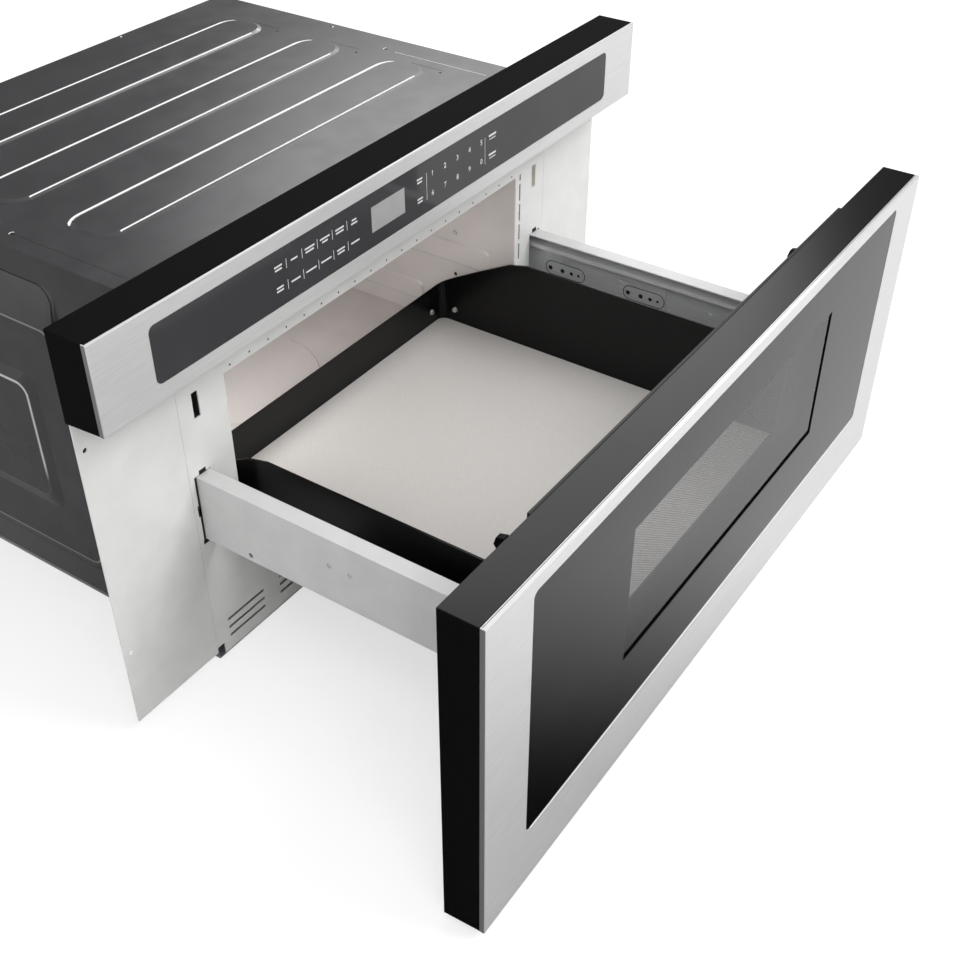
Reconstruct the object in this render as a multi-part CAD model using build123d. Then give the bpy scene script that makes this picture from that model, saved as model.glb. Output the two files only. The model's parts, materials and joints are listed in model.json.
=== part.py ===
from build123d import *
import math
import os

# Built-in microwave drawer, 30 inch class, drawn with the drawer fully open.
# X runs across the front, Y runs back into the cabinet, Z runs up. Millimetres.
# Origin: on the base plane, midway across, at the rear face of the mounting flanges.

# ---- Front: control panel and door -------------------------------------------------
FRONT_W = 759.0         # control panel and door, side to side
DOOR_LOW = 6.5          # underside of the door above the base
DOOR_H = 317.95         # door height
REVEAL = 8.9            # gap between door and control panel
PANEL_H = 77.15         # control panel height
PANEL_DEPTH = 41.0      # control panel, steel face to back
FASCIA_T = 4.6          # depth of a steel fascia with its folded rim
FASCIA_SHEET = 1.2      # sheet that the fascias are folded from
MOULD_WALL = 3.0        # wall of the black mouldings
UNDERCUT = 3.0          # rear lower edge of a moulding hangs this much below its front
FASCIA_EDGE_R = 0.8     # rounding on the front edges of a fascia

# ---- Control panel glass and display ------------------------------------------------
CONTROL_GLASS_W = 648.0
CONTROL_GLASS_H = 50.0
GLASS_R = 6.0           # corner radius of both glass panels
DISPLAY_W = 46.5
DISPLAY_H = 23.5
DISPLAY_X = -45.25      # middle of the display
DISPLAY_D = 7.5
BOARD_W = 260.0
BOARD_H = 46.0
BOARD_T = 1.6
BOARD_POST_R = 3.0

# ---- Door ---------------------------------------------------------------------------
DOOR_GLASS_W = 648.0
DOOR_GLASS_H = 245.0
DOOR_GLASS_LOW = 67.5   # lower edge of the door glass
WINDOW_W = 368.6        # clear window in the printed mask
WINDOW_H = 136.0
WINDOW_MARGIN = 18.0    # plastic stands back this far from the clear window
PANE_SEAT = 4.0         # the inner glass pane rests on a steel rim this wide
COVER_W = 542.0         # choke cover on the back of the door
COVER_T = 2.9
CLOSED_GAP = 0.9        # choke cover to front plate with the drawer shut
CHOKE_STEP = 3.0        # choke groove starts this far outside the oven opening
CHOKE_W = 24.0
CHOKE_D = 25.0
DOOR_SHEET = 1.5
SCREEN_T = 0.6
PANE_T = 2.6            # inner glass pane

# ---- Cabinet ------------------------------------------------------------------------
CABINET_W = 551.0
CABINET_H = 376.2
CABINET_D = 448.6
SHEET = 1.0
PLATE_T = 1.2           # white front plate
BASE_T = 1.2
BASE_FLANGE_H = 18.0
WRAP_LOW = 5.5          # lower edge of the wrapped cabinet sheet
BULGE = 7.5             # how far the side pressing stands out
BULGE_FRONT = 132.0
BULGE_LOW = 54.2
BULGE_TOP = 309.4
BULGE_RAMP_TOP = 350.0  # where the side pressing runs out above
BULGE_R = 12.0
EMBOSS = 3.0            # inner panel pressed on each side
EMBOSS_FRONT = 178.0
EMBOSS_LOW = 118.0
EMBOSS_TOP = 242.5
EMBOSS_RAMP = 12.0
EMBOSS_REAR = 32.0      # its rear edge ahead of the cabinet back
RIB_COUNT = 3
RIB_LENGTH = 456.0      # ribs at their foot
RIB_W = 54.2
RIB_H = 1.8
RIB_SLOPE = 4.0         # the ribs' sides slope in by this much
RIB_FIRST_Y = 135.5     # middle of the front rib
RIB_PITCH = 110.5
RIB_R = 24.0
REAR_D = 103.2          # lower housing behind the cabinet
REAR_H = 150.0

# ---- Front plate --------------------------------------------------------------------
FLANGE_INSET = 3.5      # flange edge inside the panel's side
FLANGE_LOW = 8.0
LIP_W = 532.0           # middle part that reaches the base
NOTCH_H = 14.0          # plate is cut back below this, beside the lip
FLANGE_LEG = 15.0
MOUNT_INSET = 11.5      # mounting holes, in from the panel's sides
MOUNT_X = FRONT_W / 2 - MOUNT_INSET
MOUNT_LOW_Z = 86.7
MOUNT_PITCH_Z = 212.3
MOUNT_R = 2.3
VENT_W = 49.0
VENT_H = 3.5
VENT_LOW_Z = 16.3
VENT_PITCH_Z = 9.9
VENT_ROWS = 3
VENT_X = (162.25, 232.95)   # middles of the vent groups on each side
SIDE_SLOT_X = 229.0     # line of narrow slots right of the opening
SIDE_SLOT_W = 2.6
SIDE_SLOTS = ((188.5, 207.5), (211.5, 230.0), (234.0, 253.5), (257.5, 276.5), (280.5, 287.5))

# ---- Oven cavity --------------------------------------------------------------------
CAVITY_W = 442.0
CAVITY_LOW = 82.0       # cavity floor
OPENING_TOP = 286.8
CEILING_RISE = 2.2      # ceiling above the top of the opening
CAVITY_D = 427.0
CAVITY_SHEET = 1.0
BEAD_H = 2.0            # pressed beads stand this far into the cavity
BEADS = ((30.6, 163.0, 190.5), (122.0, 100.0, 125.0))   # front end, low and top edge
BEAD_REAR = 30.0        # beads end this far ahead of the cavity back
WELL_R = 90.0           # antenna well in the cavity floor
WELL_LEDGE = 6.0
WELL_LEDGE_Z = 2.8
WELL_D = 15.0
WELL_Y = 215.0
WELL_COVER_T = 2.3
ANTENNA_R = 72.0
ANTENNA_T = 1.5
ANTENNA_SHAFT_R = 3.0
LAMP_Y = 350.0
LAMP_Z = 245.0
LAMP_R = 10.0
LAMP_BOX = 34.0

# ---- Drawer tray --------------------------------------------------------------------
TRAVEL = 324.9          # full travel of the drawer
TRAY_W = 417.4
TRAY_WALL = 2.7
TRAY_CLEAR = 4.0        # tray underside above the cavity floor
TRAY_FLOOR_TOP = 98.5
TRAY_FLOOR_T = 4.0
TRAY_LEDGE_W = 12.0
TRAY_LEDGE_T = 2.2
TRAY_SIDE_TOP = 197.0
TRAY_REAR_TOP = 143.5
TRAY_FRONT_TOP = 102.5  # low, so that the window looks onto the floor plate
TRAY_REAR_CLEAR = 12.9  # shut tray ahead of the cavity back
TRAY_RAMP = ((22.0, 154.5), (57.0, 173.5), (92.0, 191.5), (114.0, 197.0))   # back from the rear wall
TRAY_R = 12.0
TRAY_TAB_W = 8.0
TRAY_TAB_T = 2.0
TRAY_SCREW_X = 187.0
TRAY_SCREW_BACK = 18.5  # side screws ahead of the rear wall
TRAY_SCREW_Z = 113.0

# ---- Rails and slides ---------------------------------------------------------------
RAIL_X = 251.3          # inner edge of the rail
RAIL_W = 16.0
RAIL_LOW = 141.5
RAIL_H = 67.0
RAIL_SHEET = 1.2
RAIL_LENGTH = 420.0
RAIL_SLOT_GAP = 0.8
RAIL_HOLES = ((-53.0, 147.5), (-141.0, 180.0), (-162.0, 180.0))    # with the drawer open
SLIDE_T = 1.5
SLIDE_H = 46.0          # outer member
SLIDE_D = 11.6          # depth of the outer member, web to lip
SLIDE_LIP = 3.0
SLIDE_RUN = 0.35        # running gap between members
SLIDE_LENGTH = 418.0
SLIDE_SLOT = 18.0
SLIDE_HOLE_Y = -216.0   # hole in the moving member, with the drawer open
BRACKET_T = 1.2

# ---- Latches ------------------------------------------------------------------------
HOOK_X = 255.2
HOOK_W = 5.8
HOOK_LOW = 264.5
HOOK_H = 15.0
HOOK_REACH = 37.9
LATCH_SLOT_W = 7.4
LATCH_SLOT_LOW = 263.0
LATCH_SLOT_H = 25.0
LATCH_BODY_W = 26.0
LATCH_BODY_D = 48.0

# ---- Rack and pinion drive -------------------------------------------------------------
MODULE = 1.75
PINION_TEETH = 18
PINION_W = 12.0
PINION_Y = 40.0
PRESSURE = math.radians(20)
BACKLASH = 0.25
MESH_GAP = 0.15
RACK_X = 150.0
RACK_W = 12.0
RACK_TIP_Z = 50.0
RACK_BACK_T = 6.0
CARRIER_T = 1.5
RACK_SLOT_GAP = 5.0
DRIVE_SHAFT_R = 4.0
SHAFT_GAP = 0.15
GEARBOX_W = 34.0
GEARBOX_D = 56.0
GEARBOX_H = 48.0
DRIVE_MOTOR_R = 18.0
DRIVE_MOTOR_L = 62.0

# ---- Microwave and cooling units -------------------------------------------------------
GUIDE_W = 84.0
GUIDE_H = 28.0
GUIDE_FRONT = 45.0      # waveguide ahead of the well's middle
MAGNETRON_W = 80.0
MAGNETRON_H = 64.0
MAGNETRON_FINS = 5
FIN_T = 1.2
FAN_X = 168.0
FAN_R = 40.0
FAN_BLADES = 6
FAN_BLADE_T = 1.4
FAN_PITCH = math.radians(38)    # blade angle to the shaft
FAN_D = 24.0
FAN_WALL = 3.0
FAN_TIP_GAP = 2.0
FAN_HUB_R = 11.0
CORE_W = 96.0
CORE_D = 64.0
CORE_H = 78.0
CAN_W = 36.0
CAN_D = 54.0
CAN_H = 84.0
FILTER_X = 250.0
GLAND_R = 9.0

SCREW_HEAD_R = 3.6
SCREW_HEAD_T = 1.8
SCREW_R = 1.8
SCREW_SIDES = 8         # small round heads and shanks are drawn with this many flats
POST_SIDES = 16         # hidden round bodies
DISC_SIDES = 32         # large hidden rounds
CORNER_STEPS = 3        # flats in each rounded corner of a pressing or slot
WIDE_STEPS = 6          # flats in the wider corners that stay in sight
FIT = 0.3               # clearance of pieces that seat side by side

# ---- Heights and planes that follow from them -----------------------------------------
DOOR_TOP = DOOR_LOW + DOOR_H
PANEL_LOW = DOOR_TOP + REVEAL
PANEL_TOP = PANEL_LOW + PANEL_H
FRONT_Y = -PLATE_T - PANEL_DEPTH            # steel faces, drawer shut
MOULD_Y = FRONT_Y + FASCIA_T                # front of the black mouldings
COVER_Y = -PLATE_T - CLOSED_GAP             # back of the choke cover, drawer shut
DOOR_BACK_Y = COVER_Y - COVER_T             # back of the door's moulding, drawer shut
CAVITY_TOP = OPENING_TOP + CEILING_RISE
TRAY_LOW = CAVITY_LOW + TRAY_CLEAR
TRAY_REAR_Y = CAVITY_D - TRAY_REAR_CLEAR    # outer face of the tray's rear wall, shut
WINDOW_Z = DOOR_GLASS_LOW + 132.5           # middle height of the window
RAIL_MID_Z = RAIL_LOW + RAIL_H / 2
RACK_PITCH_Z = RACK_TIP_Z + MODULE
PITCH_R = MODULE * PINION_TEETH / 2
PINION_Z = RACK_PITCH_Z - PITCH_R - MESH_GAP
WELL_FLOOR_Z = CAVITY_LOW - WELL_D
GUIDE_TOP_Z = WELL_FLOOR_Z - CAVITY_SHEET
GUIDE_LOW_Z = GUIDE_TOP_Z - GUIDE_H
REAR_Y = CABINET_D + REAR_D
UNIT_Y = CABINET_D + REAR_D / 2             # middle of the rear housing


# ---- Helpers ------------------------------------------------------------------------
def block(x, y, z):
    """A box from three (low, high) pairs."""
    spans = (x, y, z)
    middle = [(low + high) / 2 for low, high in spans]
    return Pos(*middle) * Box(*[high - low for low, high in spans])


def rect(across, up, radius=0.0, steps=CORNER_STEPS):
    """A rectangle from (low, high) pairs. Where a radius is given, its corners are short flats."""
    points = []
    corners = ((across[1], up[1]), (across[0], up[1]), (across[0], up[0]), (across[1], up[0]))
    for quarter, (x, y) in enumerate(corners):
        middle_x = x - math.copysign(radius, x - sum(across) / 2)
        middle_y = y - math.copysign(radius, y - sum(up) / 2)
        for step in range(steps + 1):
            angle = math.pi / 2 * (quarter + step / steps)
            points.append((middle_x + radius * math.cos(angle), middle_y + radius * math.sin(angle)))
    apart = [point for number, point in enumerate(points) if math.dist(point, points[number - 1]) > 0.01]
    return make_face(Polyline(*apart, close=True))


def sheet_xz(outline, rear_y, thickness):
    """An outline drawn in X and Z, thickened forward from rear_y."""
    return extrude(Plane.XZ.offset(-rear_y) * outline, thickness)


def bar_x(outline, low_x, length):
    """An outline drawn in Y and Z, run along X from low_x."""
    return extrude(Plane.YZ.offset(low_x) * outline, length)


def rod(axis, start, radius, length):
    """A round bar from start along +X, +Y or +Z."""
    turn = {"x": Rot(0, 90, 0), "y": Rot(-90, 0, 0), "z": Rot(0, 0, 0)}[axis]
    base = Cylinder(radius, length, align=(Align.CENTER, Align.CENTER, Align.MIN))
    return Pos(*start) * turn * base


def post(axis, start, radius, length, sides=POST_SIDES):
    """A hidden round bar from start along +X, +Y or +Z, drawn with flats."""
    turn = {"x": Rot(0, 90, 0), "y": Rot(-90, 0, 0), "z": Rot(0, 0, 0)}[axis]
    return Pos(*start) * turn * extrude(RegularPolygon(radius, sides), length)


def other_side(shape):
    """The same piece for the left side."""
    return mirror(shape, about=Plane.YZ)


def opened(shape, share=1.0):
    """A piece drawn with the drawer shut, moved out by its share of the travel."""
    return Pos(0, -TRAVEL * share, 0) * shape


def screw(place, turn):
    """A low screw whose head sits on the local XY plane and whose shank points down."""
    head = extrude(RegularPolygon(SCREW_HEAD_R, SCREW_SIDES), SCREW_HEAD_T, taper=25)
    shank = extrude(RegularPolygon(SCREW_R, SCREW_SIDES), -4 * SCREW_HEAD_T)
    return Pos(*place) * turn * (head + shank)


def drilled(shape, places):
    """The shape with a clearance hole for each screw, from (place, turn) pairs."""
    for place, turn in places:
        hole = extrude(RegularPolygon(SCREW_R + FIT / 3, SCREW_SIDES), 5 * SCREW_HEAD_T, both=True)
        shape = shape - Pos(*place) * turn * hole
    return shape


# ---- Cabinet --------------------------------------------------------------------------
def cabinet_form(inset):
    """The cabinet's outer form with its pressings, drawn in by inset on every side."""
    half = CABINET_W / 2 - inset
    deep = (0, CABINET_D)
    form = block((-half, half), deep, (WRAP_LOW, CABINET_H - inset))
    past = CABINET_D + 2 * BULGE_R
    ramp = BULGE_FRONT - BULGE
    skirt = rect((ramp + inset, past), (WRAP_LOW, BULGE_RAMP_TOP - inset), BULGE_R)
    crown = rect((BULGE_FRONT + inset, past), (BULGE_LOW + inset, BULGE_TOP - inset), BULGE_R)
    bulge = loft([Plane.YZ.offset(half) * skirt, Plane.YZ.offset(half + BULGE) * crown], ruled=True)
    rear = CABINET_D - EMBOSS_REAR
    wide = rect((EMBOSS_FRONT - EMBOSS_RAMP + inset, rear + EMBOSS_RAMP - inset),
                (EMBOSS_LOW - EMBOSS_RAMP + inset, EMBOSS_TOP + EMBOSS_RAMP - inset), BULGE_R)
    narrow = rect((EMBOSS_FRONT + inset, rear - inset), (EMBOSS_LOW + inset, EMBOSS_TOP - inset), BULGE_R)
    planes = [Plane.YZ.offset(half + BULGE), Plane.YZ.offset(half + BULGE + EMBOSS)]
    emboss = loft([planes[0] * wide, planes[1] * narrow], ruled=True)
    side = (bulge + emboss) & block((0, FRONT_W), deep, (WRAP_LOW, CABINET_H))
    form = form + side + other_side(side)
    for number in range(RIB_COUNT):
        form = form + rib(RIB_FIRST_Y + number * RIB_PITCH, inset)
    return form


def rib(middle_y, inset):
    """One low pad on the top, its sides sloping in all round."""
    outlines = []
    for slope in (0, RIB_SLOPE):
        margin = slope + inset
        length = RIB_LENGTH / 2 - margin
        width = RIB_W / 2 - margin
        span = (middle_y - width, middle_y + width)
        outlines.append(rect((-length, length), span, RIB_R - margin, WIDE_STEPS))
    low = CABINET_H - inset
    planes = [Plane.XY.offset(low), Plane.XY.offset(low + RIB_H)]
    return loft([planes[0] * outlines[0], planes[1] * outlines[1]], ruled=True)


def outer_wrap():
    """Dark painted sheet folded over the top and both sides."""
    return cabinet_form(0) - cabinet_form(SHEET)


def back_panel():
    """Sheet that closes the cabinet's back, cut out where the rear housing joins."""
    sheet = cabinet_form(SHEET) & block((-FRONT_W, FRONT_W), (CABINET_D - SHEET, CABINET_D),
                                        (0, CABINET_H))
    half = CABINET_W / 2 - SHEET
    sheet = sheet - block((-half, half), (0, REAR_Y), (0, REAR_H - SHEET))
    for column in range(-3, 4):
        vent = rect((column * 52 - 20, column * 52 + 20), (CABINET_H - 60, CABINET_H - 56))
        sheet = sheet - sheet_xz(vent, REAR_Y, REAR_Y)
    return drilled(sheet, back_screw_places())


def rear_housing():
    """Low housing behind the cabinet, over the magnetron, transformer and fan."""
    half = CABINET_W / 2
    deep = (CABINET_D, REAR_Y)
    outer = block((-half, half), deep, (WRAP_LOW, REAR_H))
    inner = block((-half + SHEET, half - SHEET), (CABINET_D, REAR_Y - SHEET), (0, REAR_H - SHEET))
    housing = outer - inner
    for row in range(5):
        low = PINION_Z + row * 9
        vent = rect((FAN_X - FAN_R, FAN_X + FAN_R), (low, low + 4))
        housing = housing - sheet_xz(vent, REAR_Y + SHEET, 3 * SHEET)
    return housing - post("y", (FILTER_X, REAR_Y - 2 * SHEET, PINION_Z), GLAND_R, 4 * SHEET)


def base_pan():
    """Floor of the appliance, folded up at the sides and back."""
    half = CABINET_W / 2 - SHEET
    outer = block((-half, half), (-PLATE_T, REAR_Y - SHEET), (0, BASE_FLANGE_H))
    inner = block((-half + BASE_T, half - BASE_T), (-FRONT_W, REAR_Y - SHEET - BASE_T),
                  (BASE_T, BASE_FLANGE_H + 1))
    pan = outer - inner
    return pan - block((-FRONT_W, FRONT_W), (-FRONT_W, 0), (BASE_T, BASE_FLANGE_H + 1))


def back_screw_places():
    """Screws through the cabinet's back."""
    edge = CABINET_W / 2 - 12
    heights = (REAR_H + 10, CABINET_H - 10)
    return [((x, CABINET_D, z), Rot(-90, 0, 0)) for x in (-edge, 0, edge) for z in heights]


def cabinet_screws():
    return [screw(place, turn) for place, turn in back_screw_places()]


# ---- Front plate ------------------------------------------------------------------------
def front_plate():
    """White plate between the mounting flanges, with the oven opening, rail and latch slots."""
    half = CABINET_W / 2 - FIT
    outline = rect((-half, half), (NOTCH_H, CABINET_H))
    outline = outline + rect((-LIP_W / 2, LIP_W / 2), (BASE_T, CABINET_H / 2))
    opening = rect((-CAVITY_W / 2, CAVITY_W / 2), (CAVITY_LOW, OPENING_TOP))
    outline = outline - opening
    gap = RAIL_SLOT_GAP
    cuts = []
    for side in (-1, 1):
        rail = rect((RAIL_X - gap, RAIL_X + RAIL_W + gap), (RAIL_LOW - gap, RAIL_LOW + RAIL_H + gap))
        rail = rail + rect((RAIL_X + RAIL_W, RAIL_X + RAIL_W + 4), (RAIL_MID_Z - 5, RAIL_MID_Z + 5))
        latch = rect((HOOK_X - LATCH_SLOT_W / 2, HOOK_X + LATCH_SLOT_W / 2),
                     (LATCH_SLOT_LOW, LATCH_SLOT_LOW + LATCH_SLOT_H))
        shapes = [rail, latch]
        for middle in VENT_X:
            for row in range(VENT_ROWS):
                z = VENT_LOW_Z + row * VENT_PITCH_Z
                shapes.append(rect((middle - VENT_W / 2, middle + VENT_W / 2),
                                   (z - VENT_H / 2, z + VENT_H / 2)))
        if side < 0:
            shapes = [mirror(shape, about=Plane.YZ) for shape in shapes]
        cuts += shapes
    for low, high in SIDE_SLOTS:
        cuts.append(rect((SIDE_SLOT_X - SIDE_SLOT_W / 2, SIDE_SLOT_X + SIDE_SLOT_W / 2), (low, high)))
    half_slot = RACK_W / 2 + CARRIER_T + RACK_SLOT_GAP
    cuts.append(rect((RACK_X - half_slot, RACK_X + half_slot),
                     (RACK_TIP_Z - RACK_SLOT_GAP, carrier_top() + RACK_SLOT_GAP)))
    for cut in cuts:
        outline = outline - cut
    return sheet_xz(outline, 0, PLATE_T)


def mounting_flange():
    """Right mounting flange: an angle fixed to the cabinet's side, with two screw holes."""
    edge = CABINET_W / 2
    outline = rect((edge, FRONT_W / 2 - FLANGE_INSET), (FLANGE_LOW, CABINET_H))
    for z in (MOUNT_LOW_Z, MOUNT_LOW_Z + MOUNT_PITCH_Z):
        outline = outline - Pos(MOUNT_X, z) * Circle(MOUNT_R)
    leg = block((edge, edge + PLATE_T), (0, FLANGE_LEG), (FLANGE_LOW, CABINET_H))
    return sheet_xz(outline, 0, PLATE_T) + leg


# ---- Cavity and microwave feed ------------------------------------------------------------
def cavity_shell():
    """Enamelled oven cavity with a round antenna well in its floor."""
    half = CAVITY_W / 2
    t = CAVITY_SHEET
    outer = block((-half - t, half + t), (0, CAVITY_D + t), (CAVITY_LOW - t, CAVITY_TOP + t))
    inner = block((-half, half), (0, CAVITY_D), (CAVITY_LOW, CAVITY_TOP))
    cup = post("z", (0, WELL_Y, WELL_FLOOR_Z - t), WELL_R - WELL_LEDGE + t, WELL_D, DISC_SIDES)
    rim = post("z", (0, WELL_Y, CAVITY_LOW - WELL_LEDGE_Z - t), WELL_R + t, WELL_LEDGE_Z, DISC_SIDES)
    shell = (outer + cup + rim) - inner
    shell = shell - post("z", (0, WELL_Y, WELL_FLOOR_Z), WELL_R - WELL_LEDGE, WELL_D, DISC_SIDES)
    shell = shell - post("z", (0, WELL_Y, CAVITY_LOW - WELL_LEDGE_Z), WELL_R, WELL_LEDGE_Z, DISC_SIDES)
    shell = shell - post("z", (0, WELL_Y, WELL_FLOOR_Z - 2 * t), 4 * ANTENNA_SHAFT_R, 3 * t)
    shell = shell - post("x", (-half - 2 * t, LAMP_Y, LAMP_Z), LAMP_R, 3 * t)
    for front, low, top in BEADS:
        wide = rect((front, CAVITY_D - BEAD_REAR), (low, top), BEAD_H * 4)
        narrow = rect((front + BEAD_H, CAVITY_D - BEAD_REAR - BEAD_H), (low + BEAD_H, top - BEAD_H),
                      BEAD_H * 3)
        planes = [Plane.YZ.offset(half), Plane.YZ.offset(half - BEAD_H)]
        bead = loft([planes[0] * wide, planes[1] * narrow], ruled=True)
        shell = shell + bead + other_side(bead)
    return shell


def antenna_cover():
    """Flat ceramic cover that drops into the well's ledge."""
    return post("z", (0, WELL_Y, CAVITY_LOW - WELL_LEDGE_Z), WELL_R - FIT, WELL_COVER_T, DISC_SIDES)


def waveguide():
    """Sheet duct under the cavity, from the magnetron to the antenna well."""
    t = CAVITY_SHEET
    half = GUIDE_W / 2
    deep = (WELL_Y - GUIDE_FRONT, UNIT_Y + MAGNETRON_W / 2)
    outer = block((-half, half), deep, (GUIDE_LOW_Z, GUIDE_TOP_Z))
    inner = block((-half + t, half - t), (deep[0] + t, deep[1] - t), (GUIDE_LOW_Z + t, GUIDE_TOP_Z - t))
    duct = outer - inner
    duct = duct - post("z", (0, WELL_Y, GUIDE_TOP_Z - 2 * t), 4 * ANTENNA_SHAFT_R, 3 * t)
    duct = duct - rod("z", (0, WELL_Y, GUIDE_LOW_Z - t), ANTENNA_SHAFT_R + SHAFT_GAP, 3 * t)
    return duct - post("z", (0, UNIT_Y, GUIDE_TOP_Z - 2 * t), GLAND_R + FIT, 3 * t)


def magnetron():
    """Finned magnetron standing on the waveguide, its aerial pointing down into it."""
    half = MAGNETRON_W / 2
    deep = (UNIT_Y - half + 6, UNIT_Y + half - 6)
    low = GUIDE_TOP_Z
    base = block((-half - 6, half + 6), deep, (low, low + 2))
    yoke = block((-half, half), deep, (low + 2, low + MAGNETRON_H))
    yoke = yoke - block((-half + 2, half - 2), (deep[0] - 1, deep[1] + 1), (low + 4, low + MAGNETRON_H - 2))
    anode = post("z", (0, UNIT_Y, low + 2), half * 0.45, MAGNETRON_H - 3)
    unit = base + yoke + anode
    pitch = (MAGNETRON_H - 24) / (MAGNETRON_FINS - 1)
    for number in range(MAGNETRON_FINS):
        z = low + 12 + number * pitch
        unit = unit + block((-half + 1, half - 1), (deep[0] + 4, deep[1] - 4), (z, z + FIN_T))
    return unit + post("z", (0, UNIT_Y, low - GUIDE_H * 0.6), GLAND_R - 2, GUIDE_H * 0.6 + 2)


def antenna_motor():
    """Flat synchronous motor hung under the waveguide."""
    body = post("z", (0, WELL_Y, GUIDE_LOW_Z - 18), 25, 18)
    ears = block((-34, 34), (WELL_Y - 6, WELL_Y + 6), (GUIDE_LOW_Z - 2, GUIDE_LOW_Z))
    bore = rod("z", (0, WELL_Y, GUIDE_LOW_Z - 8), ANTENNA_SHAFT_R + SHAFT_GAP, 8)
    return body + ears - bore


def rotating_antenna():
    """Vaned disc that spins in the well, on a shaft through the waveguide."""
    z = WELL_FLOOR_Z + WELL_D * 0.3
    disc = post("z", (0, WELL_Y, z), ANTENNA_R, ANTENNA_T, DISC_SIDES)
    for angle in range(0, 360, 90):
        spoke = Pos(0, WELL_Y, z - 1) * Rot(0, 0, angle + 12)
        hole = Pos(ANTENNA_R * 0.58, 0) * Rectangle(ANTENNA_R * 0.5, ANTENNA_R * 0.3)
        disc = disc - spoke * extrude(hole, ANTENNA_T + 2)
    low = GUIDE_LOW_Z - 7
    return disc + rod("z", (0, WELL_Y, low), ANTENNA_SHAFT_R, z + ANTENNA_T - low)


def cavity_lamp():
    """Lamp box on the outside of the left cavity wall, its lens in the wall's hole."""
    face = -CAVITY_W / 2 - CAVITY_SHEET
    half = LAMP_BOX / 2
    box = block((face - LAMP_BOX * 0.7, face), (LAMP_Y - half, LAMP_Y + half), (LAMP_Z - half, LAMP_Z + half))
    box = chamfer(box.edges().filter_by(Axis.X), 3)
    return box + post("x", (face, LAMP_Y, LAMP_Z), LAMP_R - FIT, CAVITY_SHEET)


def power_transformer():
    """Laminated core on a foot plate, with two windings."""
    x = -145.0
    low = BASE_T
    foot = block((x - CORE_W / 2 - 8, x + CORE_W / 2 + 8), (UNIT_Y - CORE_D / 2, UNIT_Y + CORE_D / 2),
                 (low, low + 2))
    core = block((x - CORE_W / 2, x + CORE_W / 2), (UNIT_Y - CORE_D / 2, UNIT_Y + CORE_D / 2),
                 (low + 2, low + 2 + CORE_H))
    leg = CORE_W / 6
    unit = foot + core
    for side in (-1, 1):
        window = block((x + side * leg * 1.5 - leg / 2, x + side * leg * 1.5 + leg / 2),
                       (UNIT_Y - CORE_D, UNIT_Y + CORE_D), (low + 2 + leg, low + 2 + CORE_H - leg))
        unit = unit - window
    reach = CORE_D / 2 + 14
    for share in (0.28, 0.64):
        z = low + 2 + CORE_H * share
        coil = Pos(x, UNIT_Y, z) * Box(leg * 3.8, 2 * reach, CORE_H * 0.2)
        coil = chamfer(coil.edges().filter_by(Axis.Z), 7)
        unit = unit + coil
    return unit


def hv_capacitor():
    """Oval can with two blade terminals, standing beside the magnetron."""
    x = -GUIDE_W / 2 - 8 - CAN_W / 2
    low = BASE_T
    outline = rect((x - CAN_W / 2, x + CAN_W / 2), (UNIT_Y - CAN_D / 2, UNIT_Y + CAN_D / 2), CAN_W * 0.45)
    can = Pos(0, 0, low) * extrude(outline, CAN_H * 0.7)
    for side in (-1, 1):
        z = low + CAN_H * 0.7
        y = UNIT_Y + side * CAN_D / 4
        can = can + block((x - 0.5, x + 0.5), (y - 3, y + 3), (z, z + 10))
    return can


def fan_place():
    """Middle of the fan wheel's front face."""
    return FAN_X, CABINET_D + 22, BASE_T + FAN_WALL + FAN_TIP_GAP + FAN_R


def fan_shroud():
    """Square frame with a round duct and a rear spider that holds the motor."""
    x, y, z = fan_place()
    half = FAN_R + FAN_TIP_GAP + FAN_WALL
    frame = block((x - half, x + half), (y, y + FAN_D), (z - half, z + half))
    frame = chamfer(frame.edges().filter_by(Axis.Y), 4)
    frame = frame - post("y", (x, y - 1, z), FAN_R + FAN_TIP_GAP, FAN_D + 2, DISC_SIDES)
    arm = FAN_WALL * 2
    for angle in (0, 90):
        bar = Pos(x, y + FAN_D - FAN_WALL / 2, z) * Rot(0, angle + 45, 0) * Box(2 * half, FAN_WALL, arm)
        frame = frame + bar
    frame = frame + post("y", (x, y + FAN_D - FAN_WALL, z), 14, FAN_WALL)
    return frame - rod("y", (x, y, z), ANTENNA_SHAFT_R + SHAFT_GAP, FAN_D + 1)


def fan_motor():
    """Shaded-pole motor behind the spider."""
    x, y, z = fan_place()
    rear = y + FAN_D
    body = block((x - 26, x + 26), (rear, rear + 16), (z - 18, z + 22))
    body = body + post("y", (x, rear, z), 15, 26)
    return body - rod("y", (x, rear, z), ANTENNA_SHAFT_R + SHAFT_GAP, 10)


def fan_wheel():
    """Axial fan: hub, shaft and blades set at a pitch."""
    x, y, z = fan_place()
    deep = FAN_D - FAN_WALL - 4
    wheel = post("y", (0, 0, 0), FAN_HUB_R, deep)
    span = FAN_R - FAN_HUB_R
    chord = deep * 0.95 / math.cos(FAN_PITCH)
    for number in range(FAN_BLADES):
        outline = Polyline((-chord * 0.4, 0), (chord * 0.4, 0), (chord / 2, span), (-chord / 2, span - 5),
                           close=True)
        blade = extrude(Plane.YZ * make_face(outline), FAN_BLADE_T / 2, both=True)
        blade = Pos(0, deep / 2, FAN_HUB_R - 1) * Rot(0, 0, math.degrees(FAN_PITCH)) * blade
        blade = blade & block((-FAN_R, FAN_R), (0, deep), (0, FAN_R))
        wheel = wheel + Rot(0, number * 360 / FAN_BLADES, 0) * blade
    shaft = rod("y", (0, 0, 0), ANTENNA_SHAFT_R, FAN_D + 7)
    return Pos(x, y + 1, z) * (wheel + shaft)


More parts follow.
